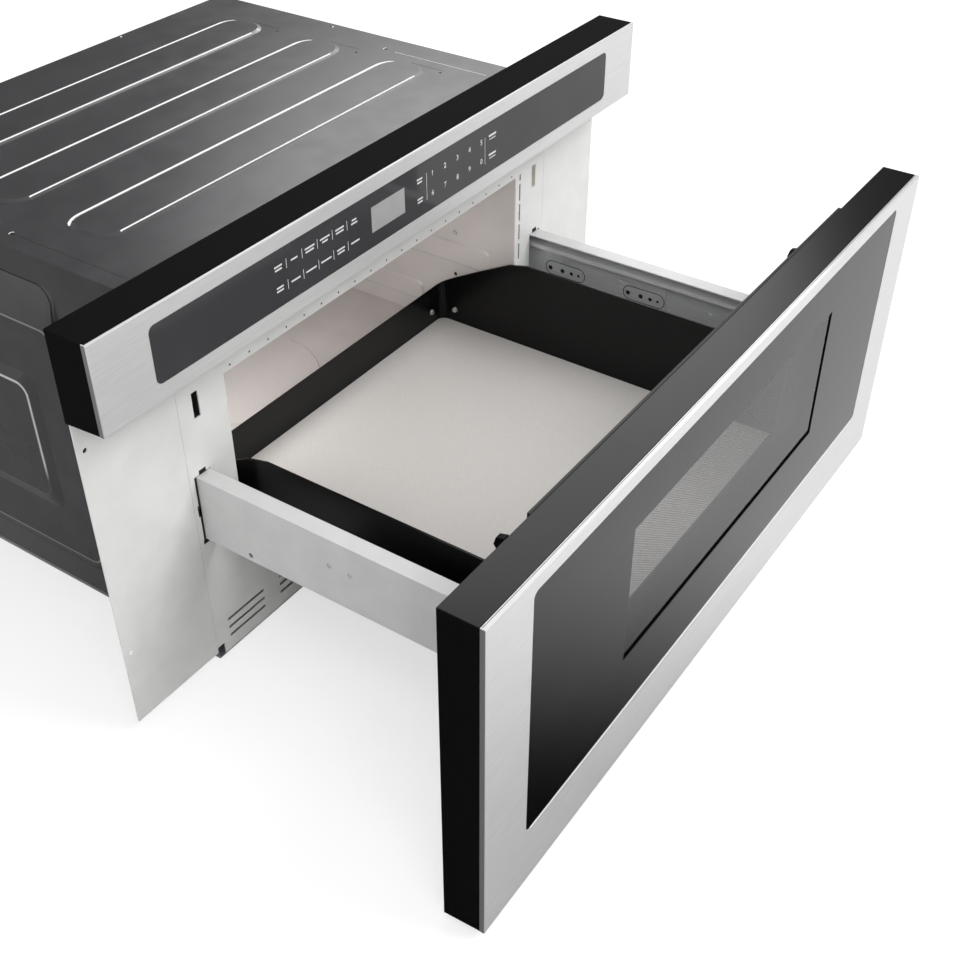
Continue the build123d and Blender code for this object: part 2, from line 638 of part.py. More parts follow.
def noise_filter():
    """Small mains filter board with a choke and a capacitor, on four posts."""
    low = BASE_T
    x = (FILTER_X - 19, FILTER_X + 19)
    y = (CABINET_D + 12, CABINET_D + 72)
    board = block(x, y, (low + 8, low + 9.6))
    for px in (x[0] + 4, x[1] - 4):
        for py in (y[0] + 4, y[1] - 4):
            board = board + post("z", (px, py, low), 2.5, 8, SCREW_SIDES)
    board = board + block((x[0] + 6, x[0] + 24), (y[0] + 10, y[0] + 36), (low + 9.6, low + 24))
    return board + post("z", (x[1] - 12, y[1] - 16, low + 9.6), 8, 14)


def mains_gland():
    """Strain relief bushing for the mains lead, in the rear housing's back."""
    start = (FILTER_X, REAR_Y - 8, PINION_Z)
    body = post("y", start, GLAND_R - FIT, 11)
    body = body + post("y", (FILTER_X, REAR_Y, PINION_Z), GLAND_R + 2.5, 3)
    return body - rod("y", (FILTER_X, REAR_Y - 9, PINION_Z), GLAND_R - 4, 13)


# ---- Control panel ------------------------------------------------------------------------
def moulding(low_z, top_z, rear_y):
    """Outer form of a black moulding, its underside sloping down to the rear."""
    profile = Polyline((MOULD_Y, low_z), (rear_y, low_z - UNDERCUT), (rear_y, top_z), (MOULD_Y, top_z),
                       close=True)
    return bar_x(make_face(profile), -FRONT_W / 2, FRONT_W)


def fascia(low_z, top_z, opening, opening_r):
    """Steel fascia: a folded pan whose face has one rounded opening with a turned-in rim."""
    half = FRONT_W / 2
    t = FASCIA_SHEET
    pan = block((-half, half), (FRONT_Y, MOULD_Y), (low_z, top_z))
    pan = fillet(pan.faces().sort_by(Axis.Y)[0].edges(), FASCIA_EDGE_R)
    across, up = opening
    rim = rect((across[0] - t, across[1] + t), (up[0] - t, up[1] + t), opening_r + t, WIDE_STEPS)
    pocket = rect((-half + t, half - t), (low_z + t, top_z - t)) - rim
    pan = pan - sheet_xz(pocket, MOULD_Y, FASCIA_T - t)
    return pan - sheet_xz(rect(across, up, opening_r, WIDE_STEPS), MOULD_Y + 1, FASCIA_T + 2)


def control_opening():
    """Spans of the fascia opening that takes the control glass."""
    middle = (PANEL_LOW + PANEL_TOP) / 2
    return (-CONTROL_GLASS_W / 2, CONTROL_GLASS_W / 2), (middle - CONTROL_GLASS_H / 2,
                                                         middle + CONTROL_GLASS_H / 2)


def panel_frame():
    """Black moulding behind the control panel's fascia, open to the front."""
    form = moulding(PANEL_LOW, PANEL_TOP, -PLATE_T)
    half = FRONT_W / 2 - MOULD_WALL
    hollow = block((-half, half), (MOULD_Y, -PLATE_T - MOULD_WALL), (PANEL_LOW + MOULD_WALL,
                                                                     PANEL_TOP - MOULD_WALL))
    return form - hollow


def panel_fascia():
    return fascia(PANEL_LOW, PANEL_TOP, control_opening(), GLASS_R)


def glass_pane(opening, radius):
    """A glass panel seated in a fascia opening."""
    (left, right), (low, top) = opening
    outline = rect((left + FIT, right - FIT), (low + FIT, top - FIT), radius - FIT, WIDE_STEPS)
    return sheet_xz(outline, MOULD_Y - FIT, FASCIA_T - 2 * FIT)


def control_glass():
    return glass_pane(control_opening(), GLASS_R)


def display_module():
    """Display unit close behind the control glass."""
    z = (PANEL_LOW + PANEL_TOP) / 2
    x = (DISPLAY_X - DISPLAY_W / 2, DISPLAY_X + DISPLAY_W / 2)
    return block(x, (MOULD_Y, MOULD_Y + DISPLAY_D), (z - DISPLAY_H / 2, z + DISPLAY_H / 2))


def control_board():
    """Circuit board behind the display, on four posts from the moulding's back."""
    z = (PANEL_LOW + PANEL_TOP) / 2
    front = MOULD_Y + DISPLAY_D
    half = BOARD_W / 2
    board = block((-half, half), (front, front + BOARD_T), (z - BOARD_H / 2, z + BOARD_H / 2))
    back = -PLATE_T - MOULD_WALL
    start = front + BOARD_T
    for x in (-half + 10, half - 10):
        for up in (-1, 1):
            place = (x, start, z + up * (BOARD_H / 2 - 6))
            board = board + post("y", place, BOARD_POST_R, back - start, SCREW_SIDES)
    relay = block((half - 60, half - 30), (start, start + 12), (z - 10, z + 10))
    return board + relay


# ---- Door -------------------------------------------------------------------------------
def window_rect(margin, radius=0.0):
    """The window's outline, grown by a margin."""
    half = WINDOW_W / 2 + margin
    tall = WINDOW_H / 2 + margin
    return rect((-half, half), (WINDOW_Z - tall, WINDOW_Z + tall), radius)


def door_frame():
    """Black moulding round the door, with a front wall open at the window."""
    form = moulding(DOOR_LOW, DOOR_TOP, DOOR_BACK_Y)
    half = FRONT_W / 2 - MOULD_WALL
    hollow = block((-half, half), (MOULD_Y + MOULD_WALL, DOOR_BACK_Y + 1),
                   (DOOR_LOW + MOULD_WALL, DOOR_TOP - MOULD_WALL))
    window = sheet_xz(window_rect(WINDOW_MARGIN), 0, PANEL_DEPTH)
    return form - hollow - window


def door_opening():
    return (-DOOR_GLASS_W / 2, DOOR_GLASS_W / 2), (DOOR_GLASS_LOW, DOOR_GLASS_LOW + DOOR_GLASS_H)


def door_fascia():
    return fascia(DOOR_LOW, DOOR_TOP, door_opening(), GLASS_R)


def door_glass():
    return glass_pane(door_opening(), GLASS_R)


def choke_spans(step):
    """Spans of a rectangle that stands a step outside the oven opening."""
    half = CAVITY_W / 2 + step
    return (-half, half), (CAVITY_LOW - step, OPENING_TOP + step)


def door_inner_panel():
    """Pressed steel back of the door, with the choke groove round the oven opening."""
    half = FRONT_W / 2 - MOULD_WALL - FIT
    t = DOOR_SHEET
    outline = rect((-half, half), (DOOR_LOW + MOULD_WALL + FIT, DOOR_TOP - MOULD_WALL - FIT))
    groove = rect(*choke_spans(CHOKE_STEP + CHOKE_W)) - rect(*choke_spans(CHOKE_STEP))
    walls = rect(*choke_spans(CHOKE_STEP + CHOKE_W + t)) - rect(*choke_spans(CHOKE_STEP - t))
    panel = sheet_xz(outline - window_rect(WINDOW_MARGIN - PANE_SEAT), DOOR_BACK_Y, t)
    panel = panel + sheet_xz(walls, DOOR_BACK_Y, CHOKE_D)
    panel = panel - sheet_xz(groove, DOOR_BACK_Y, CHOKE_D - t)
    panel = drilled(panel, rail_screw_places())
    return other_side(drilled(other_side(panel), rail_screw_places()))


def door_screen():
    """Perforated metal sheet on the front of the choke."""
    outline = rect(*choke_spans(CHOKE_STEP + CHOKE_W))
    return sheet_xz(outline, DOOR_BACK_Y - CHOKE_D, SCREEN_T)


def choke_cover():
    """Plastic cover over the choke, notched round the rails, hooks and rack."""
    half = COVER_W / 2
    outline = rect((-half, half), (DOOR_LOW + MOULD_WALL, DOOR_TOP)) - window_rect(WINDOW_MARGIN + FIT)
    for side in (-1, 1):
        rail = rect((RAIL_X - FIT, RAIL_X + RAIL_W + FIT), (RAIL_LOW - FIT, RAIL_LOW + RAIL_H + FIT))
        hook = rect((HOOK_X - HOOK_W / 2 - FIT, HOOK_X + HOOK_W / 2 + FIT),
                    (HOOK_LOW - FIT, HOOK_LOW + HOOK_H + FIT))
        for cut in (rail, hook):
            outline = outline - (cut if side > 0 else mirror(cut, about=Plane.YZ))
    return sheet_xz(outline, COVER_Y, COVER_T)


def inner_pane():
    """Inner glass in the choke cover's window."""
    return sheet_xz(window_rect(WINDOW_MARGIN), DOOR_BACK_Y + PANE_T, PANE_T)


def latch_hook():
    """Right latch hook: an arm with a barbed tip that enters the front plate's slot."""
    tip = DOOR_BACK_Y + HOOK_REACH
    low = HOOK_LOW
    top = HOOK_LOW + HOOK_H
    arm = Polyline((DOOR_BACK_Y, low), (tip - 14, low + 2), (tip - 3, low + 2), (tip, low + 6),
                   (tip - 2, top - 2), (tip - 9, top), (tip - 12, low + 9), (DOOR_BACK_Y + 8, low + 9),
                   (DOOR_BACK_Y, top), close=True)
    return bar_x(make_face(arm), HOOK_X - HOOK_W / 2, HOOK_W)


def latch_switch():
    """Right latch housing behind the front plate: two switches round the hook's path."""
    x = (HOOK_X - LATCH_BODY_W / 2, HOOK_X + LATCH_BODY_W / 2)
    z = (LATCH_SLOT_LOW - 26, LATCH_SLOT_LOW + LATCH_SLOT_H + 8)
    body = block(x, (0, LATCH_BODY_D), z)
    path = block((HOOK_X - LATCH_SLOT_W / 2, HOOK_X + LATCH_SLOT_W / 2), (-1, LATCH_BODY_D - 6),
                 (LATCH_SLOT_LOW, LATCH_SLOT_LOW + LATCH_SLOT_H))
    relief = block((x[0] - 1, HOOK_X - LATCH_SLOT_W / 2 - 2), (4, LATCH_BODY_D + 1),
                   (LATCH_SLOT_LOW - 2, z[1] + 1))
    return body - path - relief


# ---- Tray -------------------------------------------------------------------------------
def tray_shell():
    """Black tray walls with a ledge for the floor plate; the sides sweep down to the rear."""
    half = TRAY_W / 2
    rear = TRAY_REAR_Y
    plan = rect((-half, half), (COVER_Y, rear))
    tub = extrude(plan, TRAY_SIDE_TOP - TRAY_LOW)
    tub = fillet(tub.edges().filter_by(Axis.Z).group_by(Axis.Y)[-1], TRAY_R)
    tub = Pos(0, 0, TRAY_LOW) * tub
    inside = extrude(rect((-half + TRAY_WALL, half - TRAY_WALL), (COVER_Y + TRAY_WALL, rear - TRAY_WALL)),
                     TRAY_SIDE_TOP)
    inside = fillet(inside.edges().filter_by(Axis.Z).group_by(Axis.Y)[-1], TRAY_R - TRAY_WALL)
    ledge_top = TRAY_FLOOR_TOP - TRAY_FLOOR_T
    shell = tub - Pos(0, 0, ledge_top) * inside
    shell = shell - block((-half + TRAY_LEDGE_W, half - TRAY_LEDGE_W),
                          (COVER_Y + TRAY_LEDGE_W, rear - TRAY_LEDGE_W), (0, TRAY_SIDE_TOP))
    under = Pos(0, 0, ledge_top - TRAY_LEDGE_T - TRAY_SIDE_TOP) * inside
    shell = shell - under
    high = TRAY_SIDE_TOP + 1
    sweep = [(rear - back, z) for back, z in TRAY_RAMP]
    over = Polyline((rear + 1, high), (rear + 1, TRAY_REAR_TOP - 2), (rear, TRAY_REAR_TOP - 2),
                    (rear - TRAY_WALL, TRAY_REAR_TOP), *sweep[:-1], sweep[-1], (sweep[-1][0], high),
                    close=True)
    shell = shell - bar_x(make_face(over), -half - 1, TRAY_W + 2)
    front = block((-half + TRAY_WALL, half - TRAY_WALL), (COVER_Y - 1, COVER_Y + TRAY_WALL),
                  (TRAY_FRONT_TOP, high))
    shell = shell - front
    tab = block((half, half + TRAY_TAB_W), (COVER_Y, COVER_Y + TRAY_TAB_T),
                (TRAY_LOW + 4, TRAY_SIDE_TOP - 7))
    return drilled(shell, tray_screw_places()) + tab + other_side(tab)


def tray_floor():
    """Glass-ceramic plate on the tray's ledge."""
    half = TRAY_W / 2 - TRAY_WALL - FIT
    plan = rect((-half, half), (COVER_Y + TRAY_WALL + FIT, TRAY_REAR_Y - TRAY_WALL - FIT))
    plate = extrude(plan, TRAY_FLOOR_T)
    plate = fillet(plate.edges().filter_by(Axis.Z).group_by(Axis.Y)[-1], TRAY_R - TRAY_WALL)
    return Pos(0, 0, TRAY_FLOOR_TOP - TRAY_FLOOR_T) * plate


def tray_screw_places():
    """Two screws at each rear corner of the tray, heads inside."""
    places = []
    for side in (-1, 1):
        inner = side * (TRAY_W / 2 - TRAY_WALL)
        places.append(((side * TRAY_SCREW_X, TRAY_REAR_Y - TRAY_WALL, TRAY_SCREW_Z), Rot(90, 0, 0)))
        side_y = TRAY_REAR_Y - TRAY_WALL - TRAY_SCREW_BACK
        places.append(((inner, side_y, TRAY_SCREW_Z), Rot(0, -90 * side, 0)))
    return places


def tray_screws():
    return [screw(place, turn) for place, turn in tray_screw_places()]


# ---- Rails and telescopic slides ------------------------------------------------------------
def rail():
    """Right white rail: a channel open to the inside, closed by a foot at the door."""
    x = (RAIL_X, RAIL_X + RAIL_W)
    t = RAIL_SHEET
    y = (DOOR_BACK_Y, DOOR_BACK_Y + RAIL_LENGTH)
    z = (RAIL_LOW, RAIL_LOW + RAIL_H)
    channel = block(x, y, z) - block((x[0] - 1, x[1] - t), (y[0] + t, y[1] + 1), (z[0] + t, z[1] - t))
    for open_y, hole_z in RAIL_HOLES:
        channel = channel - post("x", (x[1] - 2 * t, open_y + TRAVEL, hole_z), 2.5, 3 * t, SCREW_SIDES)
    return drilled(channel, rail_screw_places())


def rail_screw_places():
    """Screws through the rail's foot, above and below the slide."""
    x = RAIL_X + RAIL_W / 2
    y = DOOR_BACK_Y + RAIL_SHEET
    return [((x, y, z), Rot(-90, 0, 0)) for z in (RAIL_LOW + 6.2, RAIL_LOW + RAIL_H - 6.2)]


def rail_screws():
    group = [screw(place, turn) for place, turn in rail_screw_places()]
    return group + [other_side(shape) for shape in group]


def member(web_x, tip_x, half_h, lip, y):
    """A slide member: web, two flanges towards tip_x and lips of the given signed height."""
    t = SLIDE_T
    towards = 1 if tip_x > web_x else -1
    web = sorted((web_x, web_x + towards * t))
    flange = sorted((web_x, tip_x))
    edge = sorted((tip_x - towards * t, tip_x))
    section = rect(web, (-half_h, half_h))
    for up in (-1, 1):
        section = section + rect(flange, sorted((up * (half_h - t), up * half_h)))
        inner = half_h - t if lip > 0 else half_h
        section = section + rect(edge, sorted((up * (inner - lip), up * inner)))
    profile = Pos(0, RAIL_MID_Z) * section
    return sheet_xz(profile, y[1], y[1] - y[0])


def slide_sizes():
    """Web, tip and half height of the moving, middle and fixed members, from outside in."""
    web = RAIL_X + RAIL_W - RAIL_SHEET
    step = SLIDE_T + SLIDE_RUN
    moving = (web, web - SLIDE_D, SLIDE_H / 2)
    middle = (web - step, web - SLIDE_D + step, SLIDE_H / 2 - step)
    lip_edge = middle[2] - SLIDE_T - SLIDE_LIP
    fixed = (RAIL_X + SLIDE_RUN, middle[0] - step, lip_edge - SLIDE_RUN)
    return moving, middle, fixed


def slide_span():
    """The Y span of a member with the drawer shut."""
    front = DOOR_BACK_Y + RAIL_SHEET + SCREW_HEAD_T + FIT
    return front, front + SLIDE_LENGTH


def slide_moving():
    """Right moving member, fixed to the rail's web."""
    web, tip, half_h = slide_sizes()[0]
    front, rear = slide_span()
    part = member(web, tip, half_h, SLIDE_LIP, (front, rear - 2 * SLIDE_T))
    hole = post("x", (web - 2 * SLIDE_T, SLIDE_HOLE_Y + TRAVEL, RAIL_MID_Z), 3, 3 * SLIDE_T, SCREW_SIDES)
    return part - hole


def slide_middle():
    """Right middle member, which moves half as far as the drawer."""
    web, tip, half_h = slide_sizes()[1]
    front, rear = slide_span()
    part = member(web, tip, half_h, SLIDE_LIP, (front, rear))
    for group in (22, 119):
        for number in range(2):
            y = front + group + number * (SLIDE_SLOT + 7)
            z = RAIL_MID_Z + 5
            slot = rect((y - SLIDE_SLOT / 2, y + SLIDE_SLOT / 2), (z - 2.5, z + 2.5), 2.5)
            part = part - bar_x(slot, web - 2 * SLIDE_T, 3 * SLIDE_T)
    return part


def slide_fixed():
    """Right fixed member, its lips caught behind those of the middle member."""
    web, tip, half_h = slide_sizes()[2]
    front, rear = slide_span()
    start = PLATE_T + SLIDE_RUN
    return member(web, tip, half_h, -SLIDE_LIP + SLIDE_RUN / 2, (start, start + SLIDE_LENGTH))


def slide_bracket():
    """Right channel between the cavity wall and the fixed member."""
    web = slide_sizes()[2][0]
    low = RAIL_MID_Z - SLIDE_H / 2
    top = RAIL_MID_Z + SLIDE_H / 2
    start = PLATE_T + SLIDE_RUN
    y = (start, start + SLIDE_LENGTH)
    face = CAVITY_W / 2 + CAVITY_SHEET
    t = BRACKET_T
    solid = block((face, web), y, (low, top))
    return solid - block((face - 1, web - t), (y[0] - 1, y[1] + 1), (low + t, top - t))


# ---- Rack and pinion ------------------------------------------------------------------------
def carrier_top():
    """Top of the channel that carries the rack."""
    return RACK_PITCH_Z + 1.25 * MODULE + RACK_BACK_T + CARRIER_T


def rack_end():
    """Rear end of the rack with the drawer shut."""
    return PINION_Y + TRAVEL + 4 * math.pi * MODULE


def drive_rack():
    """Nylon rack with its teeth down, in mesh with the pinion over the whole travel."""
    pitch = math.pi * MODULE
    half = (pitch / 2 - BACKLASH) / 2
    tip_half = half - MODULE * math.tan(PRESSURE)
    root_half = half + 1.25 * MODULE * math.tan(PRESSURE)
    root_z = RACK_PITCH_Z + 1.25 * MODULE
    tip_z = RACK_PITCH_Z - MODULE
    end = rack_end()
    first = -math.floor((TRAVEL + 3 * pitch) / pitch)
    points = [(COVER_Y, root_z + RACK_BACK_T), (COVER_Y, root_z)]
    for number in range(first, 3):
        middle = PINION_Y + TRAVEL + (number + 0.5) * pitch
        points += [(middle - root_half, root_z), (middle - tip_half, tip_z)]
        points += [(middle + tip_half, tip_z), (middle + root_half, root_z)]
    points += [(end, root_z), (end, root_z + RACK_BACK_T)]
    return bar_x(make_face(Polyline(*points, close=True)), RACK_X - RACK_W / 2, RACK_W)


def rack_carrier():
    """Steel channel over the rack, with a foot on the back of the door."""
    t = CARRIER_T
    x = (RACK_X - RACK_W / 2 - t, RACK_X + RACK_W / 2 + t)
    root_z = RACK_PITCH_Z + 1.25 * MODULE
    y = (COVER_Y, rack_end())
    channel = block(x, y, (root_z, carrier_top()))
    channel = channel - block((x[0] + t, x[1] - t), (y[0] - 1, y[1] + 1), (root_z - 1, carrier_top() - t))
    foot = block((x[0] - RACK_SLOT_GAP + 1, x[0] + t), (COVER_Y, COVER_Y + t / 2), (root_z, carrier_top()))
    return channel + foot


def pinion_points():
    """Outline of the pinion, one tooth pointing straight up."""
    base_r = PITCH_R * math.cos(PRESSURE)
    tip_r = PITCH_R + MODULE
    root_r = PITCH_R - 1.25 * MODULE
    half_angle = (math.pi * MODULE / 2 - BACKLASH) / 2 / PITCH_R
    lead = math.tan(PRESSURE) - PRESSURE
    flank = [(root_r, half_angle + lead)]
    steps = 2
    for step in range(steps + 1):
        radius = base_r + (tip_r - base_r) * step / steps
        roll = math.acos(min(1.0, base_r / radius))
        flank.append((radius, half_angle + lead - (math.tan(roll) - roll)))
    points = []
    for tooth in range(PINION_TEETH):
        centre = math.pi / 2 + tooth * 2 * math.pi / PINION_TEETH
        for radius, angle in flank:
            points.append((radius * math.cos(centre - angle), radius * math.sin(centre - angle)))
        for radius, angle in reversed(flank):
            points.append((radius * math.cos(centre + angle), radius * math.sin(centre + angle)))
    return points


def drive_pinion():
    """Nylon pinion with its shaft, which runs in the drive's bracket."""
    outline = make_face(Polyline(*pinion_points(), close=True))
    wheel = bar_x(outline, -PINION_W / 2, PINION_W)
    start = -PINION_W / 2 - 2
    shaft = rod("x", (start, 0, 0), DRIVE_SHAFT_R, bracket_x() + CARRIER_T + 9 - RACK_X - start)
    collar = post("x", (start, 0, 0), DRIVE_SHAFT_R + 3, 2)
    return Pos(RACK_X, PINION_Y, PINION_Z) * (wheel + shaft + collar)


def bracket_x():
    """Inner face of the drive bracket's upright, clear of the rack's channel."""
    return RACK_X + RACK_W / 2 + CARRIER_T + FIT * 5


def drive_bracket():
    """Folded bracket that stands the drive on the base."""
    x = bracket_x()
    y = (PINION_Y - GEARBOX_D / 2 + 4, PINION_Y + GEARBOX_D / 2 + 4)
    upright = block((x, x + CARRIER_T), y, (BASE_T, PINION_Z + GEARBOX_H / 2))
    foot = block((x, x + GEARBOX_W + 8), y, (BASE_T, BASE_T + CARRIER_T))
    bore = rod("x", (x - 1, PINION_Y, PINION_Z), DRIVE_SHAFT_R + SHAFT_GAP, CARRIER_T + 2)
    return upright + foot - bore


def drive_gearbox():
    """Reduction gearbox on the bracket's upright."""
    x = bracket_x() + CARRIER_T
    y = (PINION_Y - GEARBOX_D / 2 + 4, PINION_Y + GEARBOX_D / 2 + 4)
    low = max(PINION_Z - GEARBOX_H / 2, BASE_T + CARRIER_T + FIT)
    box = block((x, x + GEARBOX_W), y, (low, PINION_Z + GEARBOX_H / 2))
    box = chamfer(box.edges().filter_by(Axis.X), 5)
    return box - rod("x", (x - 1, PINION_Y, PINION_Z), DRIVE_SHAFT_R + SHAFT_GAP, 11)


def drive_motor():
    """Round gear motor behind the gearbox."""
    x = bracket_x() + CARRIER_T + GEARBOX_W / 2
    y = PINION_Y + GEARBOX_D / 2 + 4
    body = post("y", (x, y, PINION_Z), DRIVE_MOTOR_R, DRIVE_MOTOR_L)
    body = chamfer(body.faces().sort_by(Axis.Y)[-1].edges(), 2)
    return body + post("y", (x, y + DRIVE_MOTOR_L, PINION_Z), 6, 4)


def rack_guide():
    """Nylon shoe under the cavity that holds the rack down on the pinion."""
    x = (RACK_X - RACK_W / 2 - 6, RACK_X + RACK_W / 2 + 6)
    low = carrier_top() + FIT
    return block(x, (0, PINION_Y + 24), (low, CAVITY_LOW - CAVITY_SHEET))


# ---- Write one file for each piece ---------------------------------------------------------
ROOT = {
    "outer_wrap": outer_wrap,
    "back_panel": back_panel,
    "rear_housing": rear_housing,
    "base_pan": base_pan,
    "cabinet_screws": cabinet_screws,
    "front_plate": front_plate,
    "cavity_shell": cavity_shell,
    "antenna_cover": antenna_cover,
    "waveguide": waveguide,
    "magnetron": magnetron,
    "antenna_motor": antenna_motor,
    "rotating_antenna": rotating_antenna,
    "cavity_lamp": cavity_lamp,
    "power_transformer": power_transformer,
    "hv_capacitor": hv_capacitor,
    "fan_shroud": fan_shroud,
    "fan_motor": fan_motor,
    "fan_wheel": fan_wheel,
    "noise_filter": noise_filter,
    "mains_gland": mains_gland,
    "panel_frame": panel_frame,
    "panel_fascia": panel_fascia,
    "control_glass": control_glass,
    "display_module": display_module,
    "control_board": control_board,
    "drive_pinion": drive_pinion,
    "drive_bracket": drive_bracket,
    "drive_gearbox": drive_gearbox,
    "drive_motor": drive_motor,
    "rack_guide": rack_guide,
}
DRAWER = {
    "door_frame": door_frame,
    "door_fascia": door_fascia,
    "door_glass": door_glass,
    "door_inner_panel": door_inner_panel,
    "door_screen": door_screen,
    "choke_cover": choke_cover,
    "inner_pane": inner_pane,
    "tray_shell": tray_shell,
    "tray_floor": tray_floor,
    "tray_screws": tray_screws,
    "rail_screws": rail_screws,
    "drive_rack": drive_rack,
    "rack_carrier": rack_carrier,
}
# Right-hand pieces that have a mirrored twin, with their share of the drawer's travel.
PAIRS = {
    "mounting_flange": (mounting_flange, 0.0),
    "latch_switch": (latch_switch, 0.0),
    "slide_bracket": (slide_bracket, 0.0),
    "slide_fixed": (slide_fixed, 0.0),
    "slide_middle": (slide_middle, 0.5),
    "slide_moving": (slide_moving, 1.0),
    "rail": (rail, 1.0),
    "latch_hook": (latch_hook, 1.0),
}


def build():
    """Every piece by name, at rest with the drawer open."""
    pieces = {name: make() for name, make in ROOT.items()}
    for name, make in DRAWER.items():
        shape = make()
        if isinstance(shape, list):
            pieces[name] = [opened(solid) for solid in shape]
        else:
            pieces[name] = opened(shape)
    for name, (make, share) in PAIRS.items():
        right = opened(make(), share)
        pieces[name + "_right"] = right
        pieces[name + "_left"] = other_side(right)
    return pieces


def write(pieces):
    os.makedirs("parts", exist_ok=True)
    for name, shape in pieces.items():
        if isinstance(shape, list):
            shape = Compound(children=shape)
        export_step(shape, os.path.join("parts", name + ".step"))


write(build())
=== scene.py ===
"""Finishes, printed marks and small trim of a built-in microwave drawer, drawn open.

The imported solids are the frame. Metres, X across the front, Y back into the cabinet, Z up.
"""

import json
import math

import bmesh
import bpy
from bpy.props import FloatProperty, FloatVectorProperty, IntProperty, PointerProperty
from mathutils import Matrix, Vector


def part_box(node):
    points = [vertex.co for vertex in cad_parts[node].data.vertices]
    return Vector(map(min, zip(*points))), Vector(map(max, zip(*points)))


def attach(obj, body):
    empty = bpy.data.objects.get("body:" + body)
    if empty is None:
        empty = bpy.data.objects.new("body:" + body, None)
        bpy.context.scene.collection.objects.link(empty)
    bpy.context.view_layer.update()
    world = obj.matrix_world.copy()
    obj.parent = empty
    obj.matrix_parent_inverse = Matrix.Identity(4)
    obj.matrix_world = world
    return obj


bl_info = {
    "name": "Microwave Drawer Finishes",
    "version": (1, 0, 0),
    "blender": (4, 5, 0),
    "location": "View3D > Sidebar > Drawer",
    "description": "Finishes, control print and small trim of a built-in microwave drawer",
    "category": "Object",
}

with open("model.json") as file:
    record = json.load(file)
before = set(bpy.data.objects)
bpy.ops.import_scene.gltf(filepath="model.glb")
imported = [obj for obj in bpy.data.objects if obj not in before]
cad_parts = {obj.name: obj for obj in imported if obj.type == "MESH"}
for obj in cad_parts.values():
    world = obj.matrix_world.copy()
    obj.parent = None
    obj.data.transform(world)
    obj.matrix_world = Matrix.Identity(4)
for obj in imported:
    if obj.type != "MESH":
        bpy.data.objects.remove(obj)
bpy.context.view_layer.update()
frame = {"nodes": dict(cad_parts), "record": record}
NODES = frame["nodes"]
SLOT_OF = {row["node"]: row["material_slot"] for row in frame["record"]["subparts"]}
MM = 0.001
WHITE = (1, 1, 1, 1)

# Places on the solids that the drawn details follow, in millimetres
CABINET_TOP = 376.2
RIB_CROWN = 378.0
RIB_COUNT = 3
RIB_FIRST = 135.5  # middle of the front rib
RIB_PITCH = 110.5
RIB_HALF_WIDTH = 27.1
RIB_WALL_TILT = 0.912  # upward part of the normal on a rib's sloping wall
SLIDE_WEB = 262.75  # inner face of the middle slide members, from the middle
RAIL_EDGE = 267.6  # just outside a rail, from the middle
OVEN_WALL = 221  # inner face of the oven's side wall, from the middle

# The camera, solved from the corners of the door, panel, flanges and tray
VIEW_TURN = (2.02392603, -1.07287901, 0.52224295)
VIEW_POINT = (-0.854797, -0.684206, 0.890023)
FOCAL_PIXELS = 1325.159
PHOTO_PIXELS = 960
SENSOR_WIDTH = 36.0


# ---- Colours -------------------------------------------------------------------------
def linear(colour):
    """An sRGB hex value as linear red, green, blue and alpha."""
    channels = [int(colour[i : i + 2], 16) / 255 for i in (1, 3, 5)]
    return [c / 12.92 if c <= 0.04045 else ((c + 0.055) / 1.055) ** 2.4 for c in channels] + [1.0]


def chosen(name):
    """A colour that the user may change, as linear red, green, blue and alpha."""
    return [*getattr(bpy.context.scene.drawer_colours, name), 1.0]


# ---- Nodes ---------------------------------------------------------------------------
def add(tree, kind, sockets=None, **settings):
    """One shader node with its settings. A socket takes a value or another node's output."""
    node = tree.nodes.new("ShaderNode" + kind)
    for name, value in settings.items():
        setattr(node, name, value)
    for key, value in (sockets or {}).items():
        if isinstance(value, bpy.types.NodeSocket):
            tree.links.new(value, node.inputs[key])
        else:
            node.inputs[key].default_value = value
    return node


def finish(name, colour, roughness, metallic=0.0, **sockets):
    """A material with one shader. Returns it with its tree, its shader and the point in metres."""
    material = bpy.data.materials.new(name)
    material.use_nodes = True
    tree = material.node_tree
    tree.nodes.clear()
    shader = add(tree, "BsdfPrincipled", {"Base Color": colour, "Roughness": roughness, "Metallic": metallic})
    for key, value in sockets.items():
        shader.inputs[key.replace("_", " ")].default_value = value
    add(tree, "OutputMaterial", {"Surface": shader.outputs[0]})
    return material, tree, shader, add(tree, "TexCoord").outputs["Object"]


def grain(tree, place, size, detail=2.0, stretch=(1, 1, 1), roughness=0.5):
    """Noise whose lumps are that many millimetres across, drawn out along an axis by stretch."""
    scale = [1 / (size * MM * s) for s in stretch]
    drawn = add(tree, "Mapping", {"Vector": place, "Scale": scale})
    noise = {"Vector": drawn.outputs[0], "Scale": 1.0, "Detail": detail, "Roughness": roughness}
    return add(tree, "TexNoise", noise).outputs["Fac"]


def mottle(tree, shader, colour, pattern, amount, low=0.35, high=0.65):
    """The colour over the whole surface, lighter and darker by that share with a pattern."""
    level = {"Value": pattern, "From Min": low, "From Max": high}
    mix = add(tree, "Mix", {0: add(tree, "MapRange", level).outputs[0]}, data_type="RGBA")
    mix.inputs[6].default_value = [c * (1 - amount) for c in colour[:3]] + [1.0]
    mix.inputs[7].default_value = [min(1.0, c * (1 + amount)) for c in colour[:3]] + [1.0]
    tree.links.new(mix.outputs[2], shader.inputs["Base Color"])
    return mix


def patchy(tree, shader, pattern, low, high):
    """Roughness that runs between two values with a pattern."""
    level = {"Value": pattern, "From Min": 0.35, "From Max": 0.65, "To Min": low, "To Max": high}
    tree.links.new(add(tree, "MapRange", level).outputs[0], shader.inputs["Roughness"])


